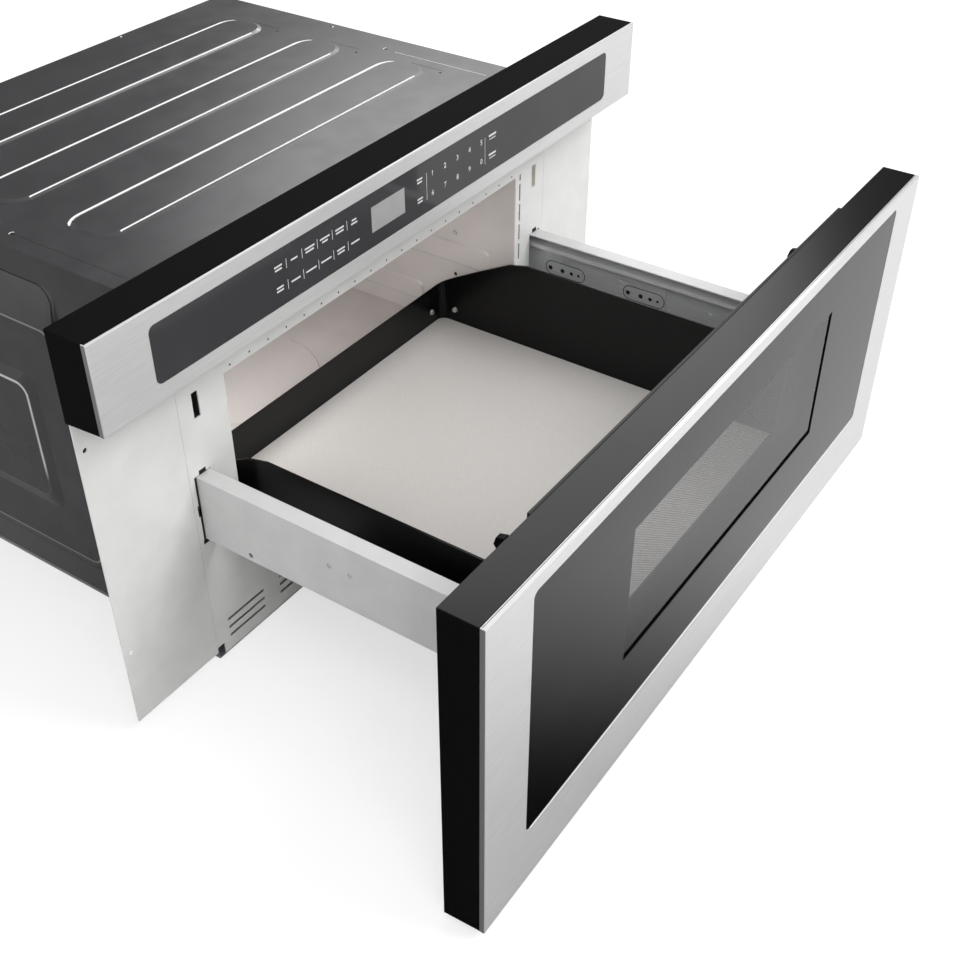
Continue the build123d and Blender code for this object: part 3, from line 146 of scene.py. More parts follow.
def orange_peel(tree, shader, place, size, depth, stretch=(1, 1, 1)):
    """Low bumps, both sizes in millimetres, as paint, moulding or rolling leaves them."""
    height = grain(tree, place, size, 2.0, stretch)
    bump = add(tree, "Bump", {"Height": height, "Distance": depth * MM, "Strength": 1.0})
    tree.links.new(bump.outputs[0], shader.inputs["Normal"])


def flakes(tree, place, size):
    """A random level for each crystal or flake of that many millimetres."""
    drawn = add(tree, "Mapping", {"Vector": place, "Scale": (1 / (size * MM),) * 3})
    cells = add(tree, "TexVoronoi", {"Vector": drawn.outputs[0], "Scale": 1.0})
    return add(tree, "SeparateColor", {0: cells.outputs["Color"]}).outputs[0]


def box_line(tree, place, axes, middle, size, radius, width):
    """1 on the outline of a rounded rectangle in the plane of two axes, and 0 away from it."""
    along = add(tree, "SeparateXYZ", {0: place})
    parts = []
    for axis, centre, length in zip(axes, middle, size):
        off = add(tree, "Math", {0: along.outputs[axis], 1: centre}, operation="SUBTRACT")
        away = add(tree, "Math", {0: off.outputs[0]}, operation="ABSOLUTE")
        parts.append(add(tree, "Math", {0: away.outputs[0], 1: length / 2 - radius}, operation="SUBTRACT"))
    beyond = [add(tree, "Math", {0: part.outputs[0], 1: 0.0}, operation="MAXIMUM") for part in parts]
    corner = add(tree, "CombineXYZ", {0: beyond[0].outputs[0], 1: beyond[1].outputs[0]})
    outside = add(tree, "VectorMath", {0: corner.outputs[0]}, operation="LENGTH")
    larger = add(tree, "Math", {0: parts[0].outputs[0], 1: parts[1].outputs[0]}, operation="MAXIMUM")
    inside = add(tree, "Math", {0: larger.outputs[0], 1: 0.0}, operation="MINIMUM")
    far = add(tree, "Math", {0: outside.outputs["Value"], 1: inside.outputs[0]}, operation="ADD")
    edge = add(tree, "Math", {0: far.outputs[0], 1: radius}, operation="SUBTRACT")
    near = add(tree, "Math", {0: edge.outputs[0]}, operation="ABSOLUTE")
    fade = {"From Min": width * 0.25, "From Max": width * 0.75, "To Min": 1.0, "To Max": 0.0}
    level = {"Value": near.outputs[0], **fade}
    return add(tree, "MapRange", level, interpolation_type="SMOOTHSTEP").outputs[0]


def box_inside(tree, place, middle, size, soft=0.1 * MM):
    """1 inside a rectangle drawn in X and Z, and 0 outside it."""
    along = add(tree, "SeparateXYZ", {0: place})
    level = None
    for axis, centre, length in zip((0, 2), middle, size):
        off = add(tree, "Math", {0: along.outputs[axis], 1: centre}, operation="SUBTRACT")
        away = add(tree, "Math", {0: off.outputs[0]}, operation="ABSOLUTE")
        fade = {"From Min": length / 2 - soft, "From Max": length / 2 + soft, "To Min": 1.0, "To Max": 0.0}
        part = add(tree, "MapRange", {"Value": away.outputs[0], **fade}).outputs[0]
        if level is None:
            level = part
        else:
            level = add(tree, "Math", {0: level, 1: part}, operation="MULTIPLY").outputs[0]
    return level


def surface(tree, output):
    """Send a shader to the material's output in place of the plain one."""
    out = next(node for node in tree.nodes if node.bl_idname == "ShaderNodeOutputMaterial")
    tree.links.new(output, out.inputs["Surface"])


# ---- Finishes: one function for each slot of the record ---------------------------------
def plain(name, colour, roughness, cloud, amount, peel=(), metallic=0.0, **sockets):
    """A finish with a cloudy tone and, where peel is given, low bumps. Cloud is what grain takes
    after the point, and peel is what orange_peel takes after it."""
    m, t, s, p = finish(name, colour, roughness, metallic, **sockets)
    mottle(t, s, colour, grain(t, p, *cloud), amount)
    if peel:
        orange_peel(t, s, p, *peel)
    return m


def cabinet_paint():
    """Pre-coated steel sheet, dark grey: a satin coat with metal flake that takes a soft broad
    reflection. Painted on it are a light line round the side pressings and a fainter one round the
    crown of the side bulge, both painted highlight; a dark crease line outside them, painted shade;
    and a tone on the ribs' sloping walls that runs from dark on the left to light on the right, a
    painted reflection that keeps the walls the shade of the sheet beside them."""
    m, t, s, p = finish("precoated_steel_dark_grey", chosen("cabinet"), 0.21, 0.45)
    cloud = mottle(t, s, chosen("cabinet"), grain(t, p, 30.0, 3.0, (1.6, 1, 1)), 0.07)
    patchy(t, s, grain(t, p, 24.0, 2.0), 0.19, 0.23)
    orange_peel(t, s, p, 4.0, 0.003)
    # Painted highlight: a light line round the side pressings, only above their lower part, and a fainter one
    # round the crown of the side bulge.
    pressing = box_line(t, p, (1, 2), (297.3 * MM, 180.25 * MM), (238.6 * MM, 124.5 * MM), 12 * MM, 2.4 * MM)
    crown = box_line(t, p, (1, 2), (432 * MM, 181.8 * MM), (600 * MM, 255.2 * MM), 12 * MM, 1.6 * MM)
    height = add(t, "SeparateXYZ", {0: p}).outputs[2]
    above = add(t, "MapRange", {"Value": height, "From Min": 138 * MM, "From Max": 156 * MM, "To Min": 0.05})
    pressing_highlight = add(t, "Math", {0: pressing, 1: above.outputs[0]}, operation="MULTIPLY").outputs[0]
    soft = add(t, "Math", {0: crown, 1: 0.35}, operation="MULTIPLY").outputs[0]
    lines = add(t, "Math", {0: pressing_highlight, 1: soft}, operation="MAXIMUM").outputs[0]
    # Painted reflection: the ribs' sloping walls are toned from dark on the left to light on the right, to
    # keep the shade of the sheet beside them.
    tilt = add(t, "SeparateXYZ", {0: add(t, "TexCoord").outputs["Normal"]}).outputs[2]
    near = add(t, "Math", {0: tilt, 1: RIB_WALL_TILT}, operation="SUBTRACT")
    off = add(t, "Math", {0: near.outputs[0]}, operation="ABSOLUTE")
    level = {"Value": off.outputs[0], "From Min": 0.012, "From Max": 0.03, "To Min": 1.0, "To Max": 0.0}
    sideways = add(t, "SeparateXYZ", {0: p}).outputs[0]
    across = add(t, "MapRange", {"Value": sideways, "From Min": -0.25, "From Max": 0.25})
    wall_tone_ends = {0: across.outputs[0], 6: linear("#525254"), 7: linear("#B8B8BA")}
    painted_wall_tone = add(t, "Mix", wall_tone_ends, data_type="RGBA").outputs[2]
    walls = {0: add(t, "MapRange", level).outputs[0], 6: cloud.outputs[2], 7: painted_wall_tone}
    ribbed = add(t, "Mix", walls, data_type="RGBA")
    # Painted shade: a dark crease line round the side bulge.
    crease_shade_line = box_line(t, p, (1, 2), (428 * MM, 198 * MM), (600 * MM, 304 * MM), 16 * MM, 1.4 * MM)
    with_crease_shade = add(t, "Mix", {0: crease_shade_line, 6: ribbed.outputs[2], 7: linear("#1C1C1C")}, data_type="RGBA")
    top = add(t, "Mix", {0: lines, 6: with_crease_shade.outputs[2], 7: linear("#E6E6E6")}, data_type="RGBA")
    t.links.new(top.outputs[2], s.inputs["Base Color"])
    return m


def white_paint():
    """White powder coat, baked: semi-gloss with a faint orange peel."""
    return plain("powder_coat_white", chosen("plate"), 0.38, (30.0, 3.0), 0.03, (2.6, 0.02))


def rail_paint():
    """White powder coat on the rails: the same coat with a finer peel, its grey a painted shade."""
    return plain("powder_coat_white_rail_shaded", chosen("rails"), 0.4, (24.0, 3.0), 0.03, (2.2, 0.02))


def zinc_sheet():
    """Hot-dip galvanised steel sheet: a grey metal with angular spangle about 9 mm across,
    each crystal a little lighter or darker than the next."""
    colour = linear("#B0B2B6")
    m, t, s, p = finish("galvanised_sheet", colour, 0.42, 0.75)
    spangle = flakes(t, p, 9.0)
    mottle(t, s, colour, spangle, 0.12, 0.0, 1.0)
    patchy(t, s, spangle, 0.36, 0.48)
    return m


def cavity_enamel():
    """Baked acrylic enamel, warm grey: a glossy coat over drawn sheet, slightly wavy."""
    return plain(
        "baked_enamel_warm_grey", chosen("cavity"), 0.25,
        (60.0, 2.0), 0.05, (26.0, 0.12), Coat_Weight=0.3, Coat_Roughness=0.12,
    )


def black_moulding():
    """ABS, moulded black: smooth, with a weak soft reflection that ends within a hand's width."""
    return plain("abs_moulded_black", chosen("moulding"), 0.17, (1.2, 2.0), 0.25, (3.0, 0.008), IOR=1.33)


def matt_moulding():
    """ABS, moulded black in an etched tool: deep black that hardly reflects, even at a low angle."""
    return plain(
        "abs_etched_black", chosen("moulding"), 0.6,
        (1.2, 2.0), 0.2, (0.9, 0.012), Specular_IOR_Level=0.03,
    )


def stainless():
    """Stainless steel, brushed along its length: fine scratches 20 to 60 mm long that spread
    each reflection up and down. They are 0.1 mm wide, and drawn about 0.5 mm. The folded sides
    are painted darker: painted shade."""
    m, t, s, p = finish("stainless_brushed", chosen("steel"), 0.4, 0.45)
    fine = grain(t, p, 0.5, 2.0, (70, 1, 1), 0.6)
    cloud = mottle(t, s, chosen("steel"), fine, 0.05)
    # Painted shade: faces that turn sideways are toned darker.
    turned = add(t, "SeparateXYZ", {0: add(t, "TexCoord").outputs["Normal"]}).outputs[0]
    sideways = add(t, "Math", {0: turned}, operation="ABSOLUTE").outputs[0]
    edge = add(t, "MapRange", {"Value": sideways, "From Min": 0.7, "From Max": 0.95}).outputs[0]
    folded = add(t, "Mix", {0: edge, 6: cloud.outputs[2], 7: linear("#8A8A8A")}, data_type="RGBA")
    t.links.new(folded.outputs[2], s.inputs["Base Color"])
    patchy(t, s, grain(t, p, 2.0, 2.0, (40, 1, 1)), 0.36, 0.44)
    bump = add(t, "Bump", {"Height": fine, "Distance": 0.008 * MM, "Strength": 1.0})
    t.links.new(bump.outputs[0], s.inputs["Normal"])
    return m


def control_glass():
    """Tempered glass, printed dark grey on its back: an even tone under a mirror gloss."""
    return plain("glass_printed_dark_grey", chosen("control_glass"), 0.06, (70.0, 2.0), 0.06, IOR=1.36)


def clear_glass(name, tone, ink, mask=None, line=None):
    """Float glass: clear with a faint tint, and a reflection that grows towards the edge of
    sight. Outside the mask, the ink printed on its back shows, and on the line it is matt black,
    a painted shadow of the window's reveal."""
    material, tree, shader, place = finish(name, ink, 0.03)
    mottle(tree, shader, ink, grain(tree, place, 60.0, 2.0), 0.2)
    seen = add(tree, "BsdfTransparent", {"Color": linear(tone)})
    shine = add(tree, "BsdfGlossy", {"Color": WHITE, "Roughness": 0.02})
    behind = add(tree, "NewGeometry").outputs["Backfacing"]
    front = add(tree, "Math", {0: 1.0, 1: behind}, operation="SUBTRACT")
    edge = {0: add(tree, "Fresnel", {"IOR": 1.45}).outputs[0], 1: front.outputs[0]}
    share = add(tree, "Math", edge, operation="MULTIPLY").outputs[0]
    clear = add(tree, "MixShader", {0: share, 1: seen.outputs[0], 2: shine.outputs[0]})
    if mask is None:
        surface(tree, clear.outputs[0])
    else:
        printed = {0: mask(tree, place), 1: shader.outputs[0], 2: clear.outputs[0]}
        # Matt near-black: painted shadow of the window's reveal.
        matt = add(tree, "BsdfDiffuse", {"Color": linear("#080808")})
        with_reveal_shadow = {0: line(tree, place), 1: add(tree, "MixShader", printed).outputs[0], 2: matt.outputs[0]}
        surface(tree, add(tree, "MixShader", with_reveal_shadow).outputs[0])
    return material


def door_window(tree, place):
    """1 in the clear window of the door glass, 0 on its printed part."""
    sizes = bpy.context.scene.drawer_sizes
    return box_inside(tree, place, (0.0, sizes.window_middle), (sizes.window_width, sizes.window_height))


def window_reveal_shadow(tree, place):
    """1 on the narrow band at the window's right and lower edges, where the shadow of the window's reveal is
    painted in.
    """
    sizes = bpy.context.scene.drawer_sizes
    step, half = sizes.reveal_shadow_width, sizes.window_width / 2
    low = sizes.window_middle - sizes.window_height / 2
    right = (half - step / 2, sizes.window_middle)
    side = box_inside(tree, place, right, (step, sizes.window_height), 0.6 * MM)
    foot = box_inside(tree, place, (0.0, low + step / 2), (sizes.window_width, step), 1.0 * MM)
    return add(tree, "Math", {0: side, 1: foot}, operation="MAXIMUM").outputs[0]


def door_glass():
    """Tempered float glass, its back printed black round a clear window."""
    return clear_glass("glass_printed_black", "#FBFBFB", chosen("door_glass"), door_window, window_reveal_shadow)


def inner_glass():
    """Float glass, clear: the pane that closes the door's back."""
    return clear_glass("glass_clear", "#FBFBFB", chosen("door_glass"))


def display():
    """Liquid crystal display, switched off: an even pale grey behind a matt filter."""
    return plain("display_filter_grey", linear("#A2A2A2"), 0.35, (18.0, 2.0), 0.04)


def perforated_screen():
    """Steel sheet, punched: round holes in staggered rows. A real screen has them about 1.6 mm
    apart. Here they are 3.2 mm apart along a row, with 1.2 mm between rows, so that they show."""
    colour = linear("#3E3E3E")
    material, tree, shader, place = finish("steel_punched_screen", colour, 0.5, 0.3)
    mottle(tree, shader, colour, grain(tree, place, 20.0, 2.0), 0.05)
    cell, open_r = (3.2 * MM, 1.0, 2.4 * MM), 0.91 * MM
    found = []
    for offset in (0.0, 0.5):
        spot = add(tree, "VectorMath", {0: place, 1: [1 / c for c in cell]}, operation="MULTIPLY")
        moved = add(tree, "VectorMath", {0: spot.outputs[0], 1: (offset, 0, offset)}, operation="ADD")
        part = add(tree, "VectorMath", {0: moved.outputs[0]}, operation="FRACTION")
        off = add(tree, "VectorMath", {0: part.outputs[0], 1: (0.5, 0.5, 0.5)}, operation="SUBTRACT")
        flat = add(tree, "VectorMath", {0: off.outputs[0], 1: (cell[0], 0, cell[2])}, operation="MULTIPLY")
        found.append(add(tree, "VectorMath", {0: flat.outputs[0]}, operation="LENGTH").outputs["Value"])
    nearest = add(tree, "Math", {0: found[0], 1: found[1]}, operation="MINIMUM").outputs[0]
    level = {"Value": nearest, "From Min": open_r - 0.1 * MM, "From Max": open_r + 0.1 * MM}
    behind = add(tree, "NewGeometry").outputs["Backfacing"]
    front = add(tree, "Math", {0: 1.0, 1: behind}, operation="SUBTRACT")
    web = {0: add(tree, "MapRange", level).outputs[0], 1: front.outputs[0]}
    solid = add(tree, "Math", web, operation="MULTIPLY").outputs[0]
    hole = add(tree, "BsdfTransparent")
    surface(tree, add(tree, "MixShader", {0: solid, 1: hole.outputs[0], 2: shader.outputs[0]}).outputs[0])
    return material


def choke_plastic():
    """Polypropylene, moulded black: waxy satin over the choke groove."""
    return plain("polypropylene_moulded_black", linear("#161617"), 0.38, (2.0, 2.0), 0.15, (1.4, 0.02))


def tray_enamel():
    """Polymer-coated drawer walls, black: smooth and semi-gloss, with soft long highlights."""
    return plain("drawer_wall_black", chosen("tray"), 0.26, (22.0, 3.0), 0.25, (9.0, 0.04), IOR=1.3)


def glass_ceramic():
    """Glass ceramic, rolled, pale warm grey: dense and satin, with a very fine speckle."""
    m, t, s, p = finish("glass_ceramic_pale", chosen("floor_plate"), 0.34)
    mottle(t, s, chosen("floor_plate"), grain(t, p, 1.1, 2.0), 0.035, 0.42, 0.58)
    orange_peel(t, s, p, 1.6, 0.015)
    return m


def slide_steel():
    """Cold-rolled steel, zinc plated and blued: bright, with drawn lines along its length."""
    return plain(
        "steel_zinc_plated", linear("#C6C7C8"), 0.42,
        (0.9, 2.0, (1, 50, 1)), 0.1, (1.0, 0.01, (1, 50, 1)), metallic=0.2,
    )


def nylon():
    """Nylon 66, moulded natural: creamy white with a slight sheen."""
    return plain("nylon_natural", linear("#E2DFD4"), 0.42, (6.0, 2.0), 0.03, (1.8, 0.015))


def circuit_board():
    """Glass-fibre board under green solder mask, with the weave just showing through."""
    colour = linear("#24523A")
    m, t, s, p = finish("solder_mask_green", colour, 0.35)
    strands = {0: grain(t, p, 1.0, 0.0, (12, 1, 1)), 1: grain(t, p, 1.0, 0.0, (1, 12, 12))}
    mottle(t, s, colour, add(t, "Math", strands, operation="MULTIPLY").outputs[0], 0.2, 0.15, 0.4)
    return m


def dark_plastic():
    """Glass-filled PBT, moulded: charcoal with a dull flowed surface."""
    return plain("pbt_glass_filled_charcoal", linear("#232325"), 0.6, (5.0, 3.0), 0.2, (1.2, 0.04))


def motor_metal():
    """Drawn steel can, zinc plated: dull grey, with the draw lines round it."""
    return plain("motor_can_plated", linear("#8C8E92"), 0.4, (3.0, 3.0), 0.12, metallic=0.8)


def core_steel():
    """Silicon steel laminations, varnished: brown-grey with the 0.5 mm sheets' edges, drawn
    at 1.5 mm so that they show."""
    colour = linear("#4A4238")
    m, t, s, p = finish("laminations_varnished", colour, 0.55, 0.3)
    wave = {"Vector": p, "Scale": 1 / (1.5 * MM) / 20, "Distortion": 0.2}
    mottle(t, s, colour, add(t, "TexWave", wave, bands_direction="Y").outputs["Fac"], 0.25, 0.0, 1.0)
    return m


def capacitor_can():
    """Deep-drawn aluminium can: pale, with vertical draw lines."""
    return plain("aluminium_drawn_can", linear("#C2C4C6"), 0.34, (1.0, 2.0, (1, 1, 30)), 0.08, metallic=0.9)


def aluminium():
    """Aluminium sheet, mill finish: pale grey with faint rolling lines."""
    return plain(
        "aluminium_mill_finish", linear("#C8CACC"), 0.36,
        (1.2, 2.0, (30, 1, 1)), 0.08, metallic=0.9,
    )


def screw_steel():
    """Carbon steel screws, bright nickel plated."""
    return plain("screw_nickel_plated", linear("#DADAD8"), 0.25, (1.0, 2.0), 0.08, metallic=0.8)


def cover_ceramic():
    """Mica board, pressed and painted like the cavity: its fine flakes just show."""
    m, t, s, p = finish("mica_board", chosen("cavity"), 0.45)
    mottle(t, s, chosen("cavity"), flakes(t, p, 2.0), 0.02, 0.0, 1.0)
    return m


def rubber():
    """EPDM rubber, moulded black: matt."""
    return plain("epdm_moulded_black", linear("#1A1A1A"), 0.75, (2.0, 2.0), 0.15, (0.8, 0.03))


FINISHES = (
    cabinet_paint, white_paint, rail_paint, zinc_sheet, cavity_enamel, black_moulding, stainless,
    control_glass, door_glass, inner_glass, display, perforated_screen, choke_plastic, tray_enamel,
    glass_ceramic, slide_steel, nylon, circuit_board, dark_plastic, motor_metal, core_steel,
    capacitor_can, aluminium, screw_steel, cover_ceramic, rubber,
)  # fmt: skip


def marking_ink():
    """Screen-printed ceramic ink, pale grey, behind the control glass."""
    return plain("ceramic_ink_pale_grey", linear("#DADADA"), 0.3, (1.5, 2.0), 0.06)


def dark_hole():
    """Unlit inside of a small hole, gap or crease."""
    return plain("pierced_hole_shadow", linear("#1C1C1C"), 0.8, (1.0, 1.0), 0.2)


def glint_coat():
    """A near-white satin coat for the thin lines and beads on the cabinet's top. It stands in for
    the glints that the photograph shows along the ribs and creases."""
    return plain("precoated_steel_painted_glints", linear("#F2F2F2"), 0.4, (2.0, 2.0), 0.08)


def phosphated_steel():
    """Steel sheet, black phosphate coat: dull and dark inside the door, where the window shows it."""
    colour = linear("#262627")
    m, t, s, p = finish("steel_black_phosphate", colour, 0.55, 0.3)
    mottle(t, s, colour, flakes(t, p, 1.5), 0.15, 0.0, 1.0)
    return m


def bright_edge():
    """Stainless steel, rolled edge: the lip below the door glass. Its near-white colour is a painted
    highlight; the rest of its shine is its own reflection.
    """
    return plain("stainless_rolled_edge_glint", linear("#F2F2F2"), 0.2, (1.0, 2.0, (30, 1, 1)), 0.03, metallic=0.5)


# ---- Mesh helpers --------------------------------------------------------------------
def piece(name, mesh, material, body):
    """A finished mesh as a piece that rides on a body."""
    data = bpy.data.meshes.new(name)
    bmesh.ops.recalc_face_normals(mesh, faces=mesh.faces)
    mesh.to_mesh(data)
    mesh.free()
    data.materials.append(material)
    obj = bpy.data.objects.new(name, data)
    bpy.context.scene.collection.objects.link(obj)
    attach(obj, body)
    return obj


def plate(mesh, outline, near, far, axis=1):
    """A thin plate on an outline of points in the plane across an axis, between two depths."""

    def point(pair, depth):
        values = list(pair)
        values.insert(axis, depth)
        return mesh.verts.new(values)

    low = [point(pair, near) for pair in outline]
    high = [point(pair, far) for pair in outline]
    mesh.faces.new(low)
    mesh.faces.new(high[::-1])
    for i in range(len(outline)):
        j = (i + 1) % len(outline)
        mesh.faces.new((low[j], low[i], high[i], high[j]))


def oblong(middle, size):
    """Outline of a plain rectangle."""
    (cx, cy), (w, h) = middle, (size[0] / 2, size[1] / 2)
    return [(cx - w, cy - h), (cx + w, cy - h), (cx + w, cy + h), (cx - w, cy + h)]


def rounded(middle, size, radius, steps=4):
    """Outline of a rectangle with rounded corners."""
    (cx, cz), (w, h) = middle, size
    points = []
    for quarter, (sx, sz) in enumerate(((1, 1), (-1, 1), (-1, -1), (1, -1))):
        for k in range(steps + 1):
            a = math.pi / 2 * (quarter + k / steps)
            x = cx + sx * (w / 2 - radius) + radius * math.cos(a)
            points.append((x, cz + sz * (h / 2 - radius) + radius * math.sin(a)))
    return points


def dimple(mesh, centre, normal, radius, height):
    """A small domed or sunk spot: a disc with a softened rim, standing along the normal."""
    turn = Vector(normal).to_track_quat("Z", "Y").to_matrix()
    loops = []
    for share, rise in ((1.0, 0.0), (0.9, 0.6), (0.6, 1.0)):
        loop = []
        for k in range(12):
            a = 2 * math.pi * k / 12
            local = Vector((radius * share * math.cos(a), radius * share * math.sin(a), height * rise))
            loop.append(mesh.verts.new(Vector(centre) + turn @ local))
        loops.append(loop)
    for inner, outer in zip(loops[1:], loops):
        for k in range(12):
            j = (k + 1) % 12
            mesh.faces.new((outer[k], outer[j], inner[j], inner[k]))
    mesh.faces.new(loops[-1])
    mesh.faces.new(loops[0][::-1])


def ribbon(mesh, path, width, heights, rise=0.08):
    """A thin band along a path in X and Y, in millimetres, tapered at its ends. Its right and
    left edges lie at two heights, so that it can follow a sloping wall."""
    lower, upper = [], []
    last = len(path) - 1
    for i, (x, y) in enumerate(path):
        before, after = path[max(0, i - 1)], path[min(last, i + 1)]
        run = Vector((after[0] - before[0], after[1] - before[1])).normalized()
        half = width / 2 * (0.3 if i in (0, last) else 1.0)
        for side, z in ((1, heights[0]), (-1, heights[1])):
            spot = Vector((x + side * half * run.y, y - side * half * run.x, z)) * MM
            lower.append(mesh.verts.new(spot))
            upper.append(mesh.verts.new(spot + Vector((0, 0, rise * MM))))
    mesh.faces.new((lower[0], lower[1], upper[1], upper[0]))
    mesh.faces.new((lower[-1], lower[-2], upper[-2], upper[-1]))
    for i in range(0, 2 * last, 2):
        mesh.faces.new((lower[i], lower[i + 2], lower[i + 3], lower[i + 1]))
        mesh.faces.new((upper[i], upper[i + 1], upper[i + 3], upper[i + 2]))
        mesh.faces.new((lower[i], upper[i], upper[i + 2], lower[i + 2]))
        mesh.faces.new((lower[i + 1], lower[i + 3], upper[i + 3], upper[i + 1]))


def digit(mesh, figure, middle, height, near, far):
    """A numeral from the built-in typeface, set on its middle and given its thickness."""
    text = bpy.data.curves.new("numeral", "FONT")
    text.body = figure
    text.size = 1.0
    text.resolution_u = 3
    text.offset = 0.02  # thickens the strokes
    holder = bpy.data.objects.new("numeral", text)
    bpy.context.scene.collection.objects.link(holder)
    flat = bpy.data.meshes.new_from_object(holder.evaluated_get(bpy.context.evaluated_depsgraph_get()))
    bpy.data.objects.remove(holder)
    bpy.data.curves.remove(text)
    xs = [v.co.x for v in flat.vertices]
    ys = [v.co.y for v in flat.vertices]
    scale = height / (max(ys) - min(ys))
    cx, cy = (min(xs) + max(xs)) / 2, (min(ys) + max(ys)) / 2
    start = len(mesh.faces)
    mesh.from_mesh(flat)
    bpy.data.meshes.remove(flat)
    mesh.faces.ensure_lookup_table()
    faces = mesh.faces[start:]
    for v in {v for f in faces for v in f.verts}:
        v.co = Vector((middle[0] + (v.co.x - cx) * scale, near, middle[1] + (v.co.y - cy) * scale))
    raised = bmesh.ops.extrude_face_region(mesh, geom=faces)
    for v in (g for g in raised["geom"] if isinstance(g, bmesh.types.BMVert)):
        v.co.y = far


# ---- What a user may change ------------------------------------------------------------
def colour_property(name, description, value):
    """A colour from its sRGB hex value."""
    limits = {"size": 3, "subtype": "COLOR", "min": 0, "max": 1}
    return FloatVectorProperty(name=name, description=description, default=linear(value)[:3], **limits)


def length_property(name, description, value):
    """A length in metres."""
    return FloatProperty(name=name, description=description, default=value, unit="LENGTH", min=0)


class DrawerSizes(bpy.types.PropertyGroup):
    """Sizes of the printed and trimmed details."""

    window_width: length_property("Window width", "Width of the clear window in the door glass", 368.6 * MM)
    window_height: length_property("Window height", "Height of the clear window in the door glass", 136 * MM)
    window_middle: length_property("Window middle", "Height of the window's middle above the base", 200 * MM)
    # The width of the painted shadow band at the window's right and lower edges.
    reveal_shadow_width: length_property("Window step", "Width of the matt step in the window's corner", 7.6 * MM)
    mark_depth: length_property("Print depth", "Thickness of the marks on the control glass", 0.08 * MM)
    digit_height: length_property("Digit height", "Height of the numerals", 5.2 * MM)
    weld_spots: IntProperty(name="Plate spots", description="Spots above the opening", default=19, min=0)
    edge_round: length_property("Edge rounding", "Rounding on the sheet and moulding edges", 0.5 * MM)


class DrawerColours(bpy.types.PropertyGroup):
    """Colours of the finishes."""

    cabinet: colour_property("Cabinet", "Coated sheet round the cabinet", "#525254")
    plate: colour_property("Front plate", "Powder coat on the front plate and flanges", "#E0E0DE")
    # The rails' colour is greyer than the plate's, as painted shade.
    rails: colour_property("Rails", "Powder coat on the drawer's rails", "#CACACA")
    cavity: colour_property("Cavity", "Enamel inside the oven", "#CAC4C1")
    moulding: colour_property("Mouldings", "Black plastic behind the steel", "#101010")
    steel: colour_property("Steel", "Brushed fascias of the door and the control panel", "#DFDFDF")
    control_glass: colour_property("Control glass", "Print on the back of the control glass", "#404042")
    door_glass: colour_property("Door glass", "Print on the back of the door glass", "#101011")
    tray: colour_property("Tray walls", "Coating of the drawer's walls", "#080808")
    floor_plate: colour_property("Floor plate", "Glass ceramic on the drawer's floor", "#BEBBB8")


# ---- Operators -----------------------------------------------------------------------
MADE_FINISHES = {}  # filled by the first operator, for the pieces that share a slot's finish


class DRAWER_OT_finishes(bpy.types.Operator):
    """Give every solid the finish that its slot in the record names"""

    bl_idname = "drawer.finishes"
    bl_label = "Finishes"

    def execute(self, context):
        made = {make.__name__: make() for make in FINISHES}
        for name, node in NODES.items():
            node.data.materials.clear()
            node.data.materials.append(made[SLOT_OF[name]])
        NODES["panel_frame"].data.materials[0] = matt_moulding()
        NODES["door_inner_panel"].data.materials[0] = phosphated_steel()
        NODES["latch_switch_right"].data.materials[0] = made["nylon"]
        MADE_FINISHES.update(made)
        return {"FINISHED"}


class DRAWER_OT_edges(bpy.types.Operator):
    """Round the sharp edges of the sheets and mouldings a little, so that they catch the light"""

    bl_idname = "drawer.edges"
    bl_label = "Edges"

    def execute(self, context):
        size = context.scene.drawer_sizes.edge_round
        shares = {
            "panel_frame": 1.0, "door_frame": 1.0, "panel_fascia": 0.5, "door_fascia": 0.5, "rail_left": 0.5,
            "rail_right": 0.5, "tray_shell": 1.0, "choke_cover": 1.0,
        }  # fmt: skip
        for name, share in shares.items():
            weld = NODES[name].modifiers.new("weld", "WELD")
            weld.merge_threshold = 0.00001
            bevel = NODES[name].modifiers.new("edge", "BEVEL")
            bevel.width = size * share
            bevel.segments = 2
            bevel.limit_method = "ANGLE"
            bevel.angle_limit = math.radians(50)
            bevel.use_clamp_overlap = True
            bevel.harden_normals = True
        return {"FINISHED"}


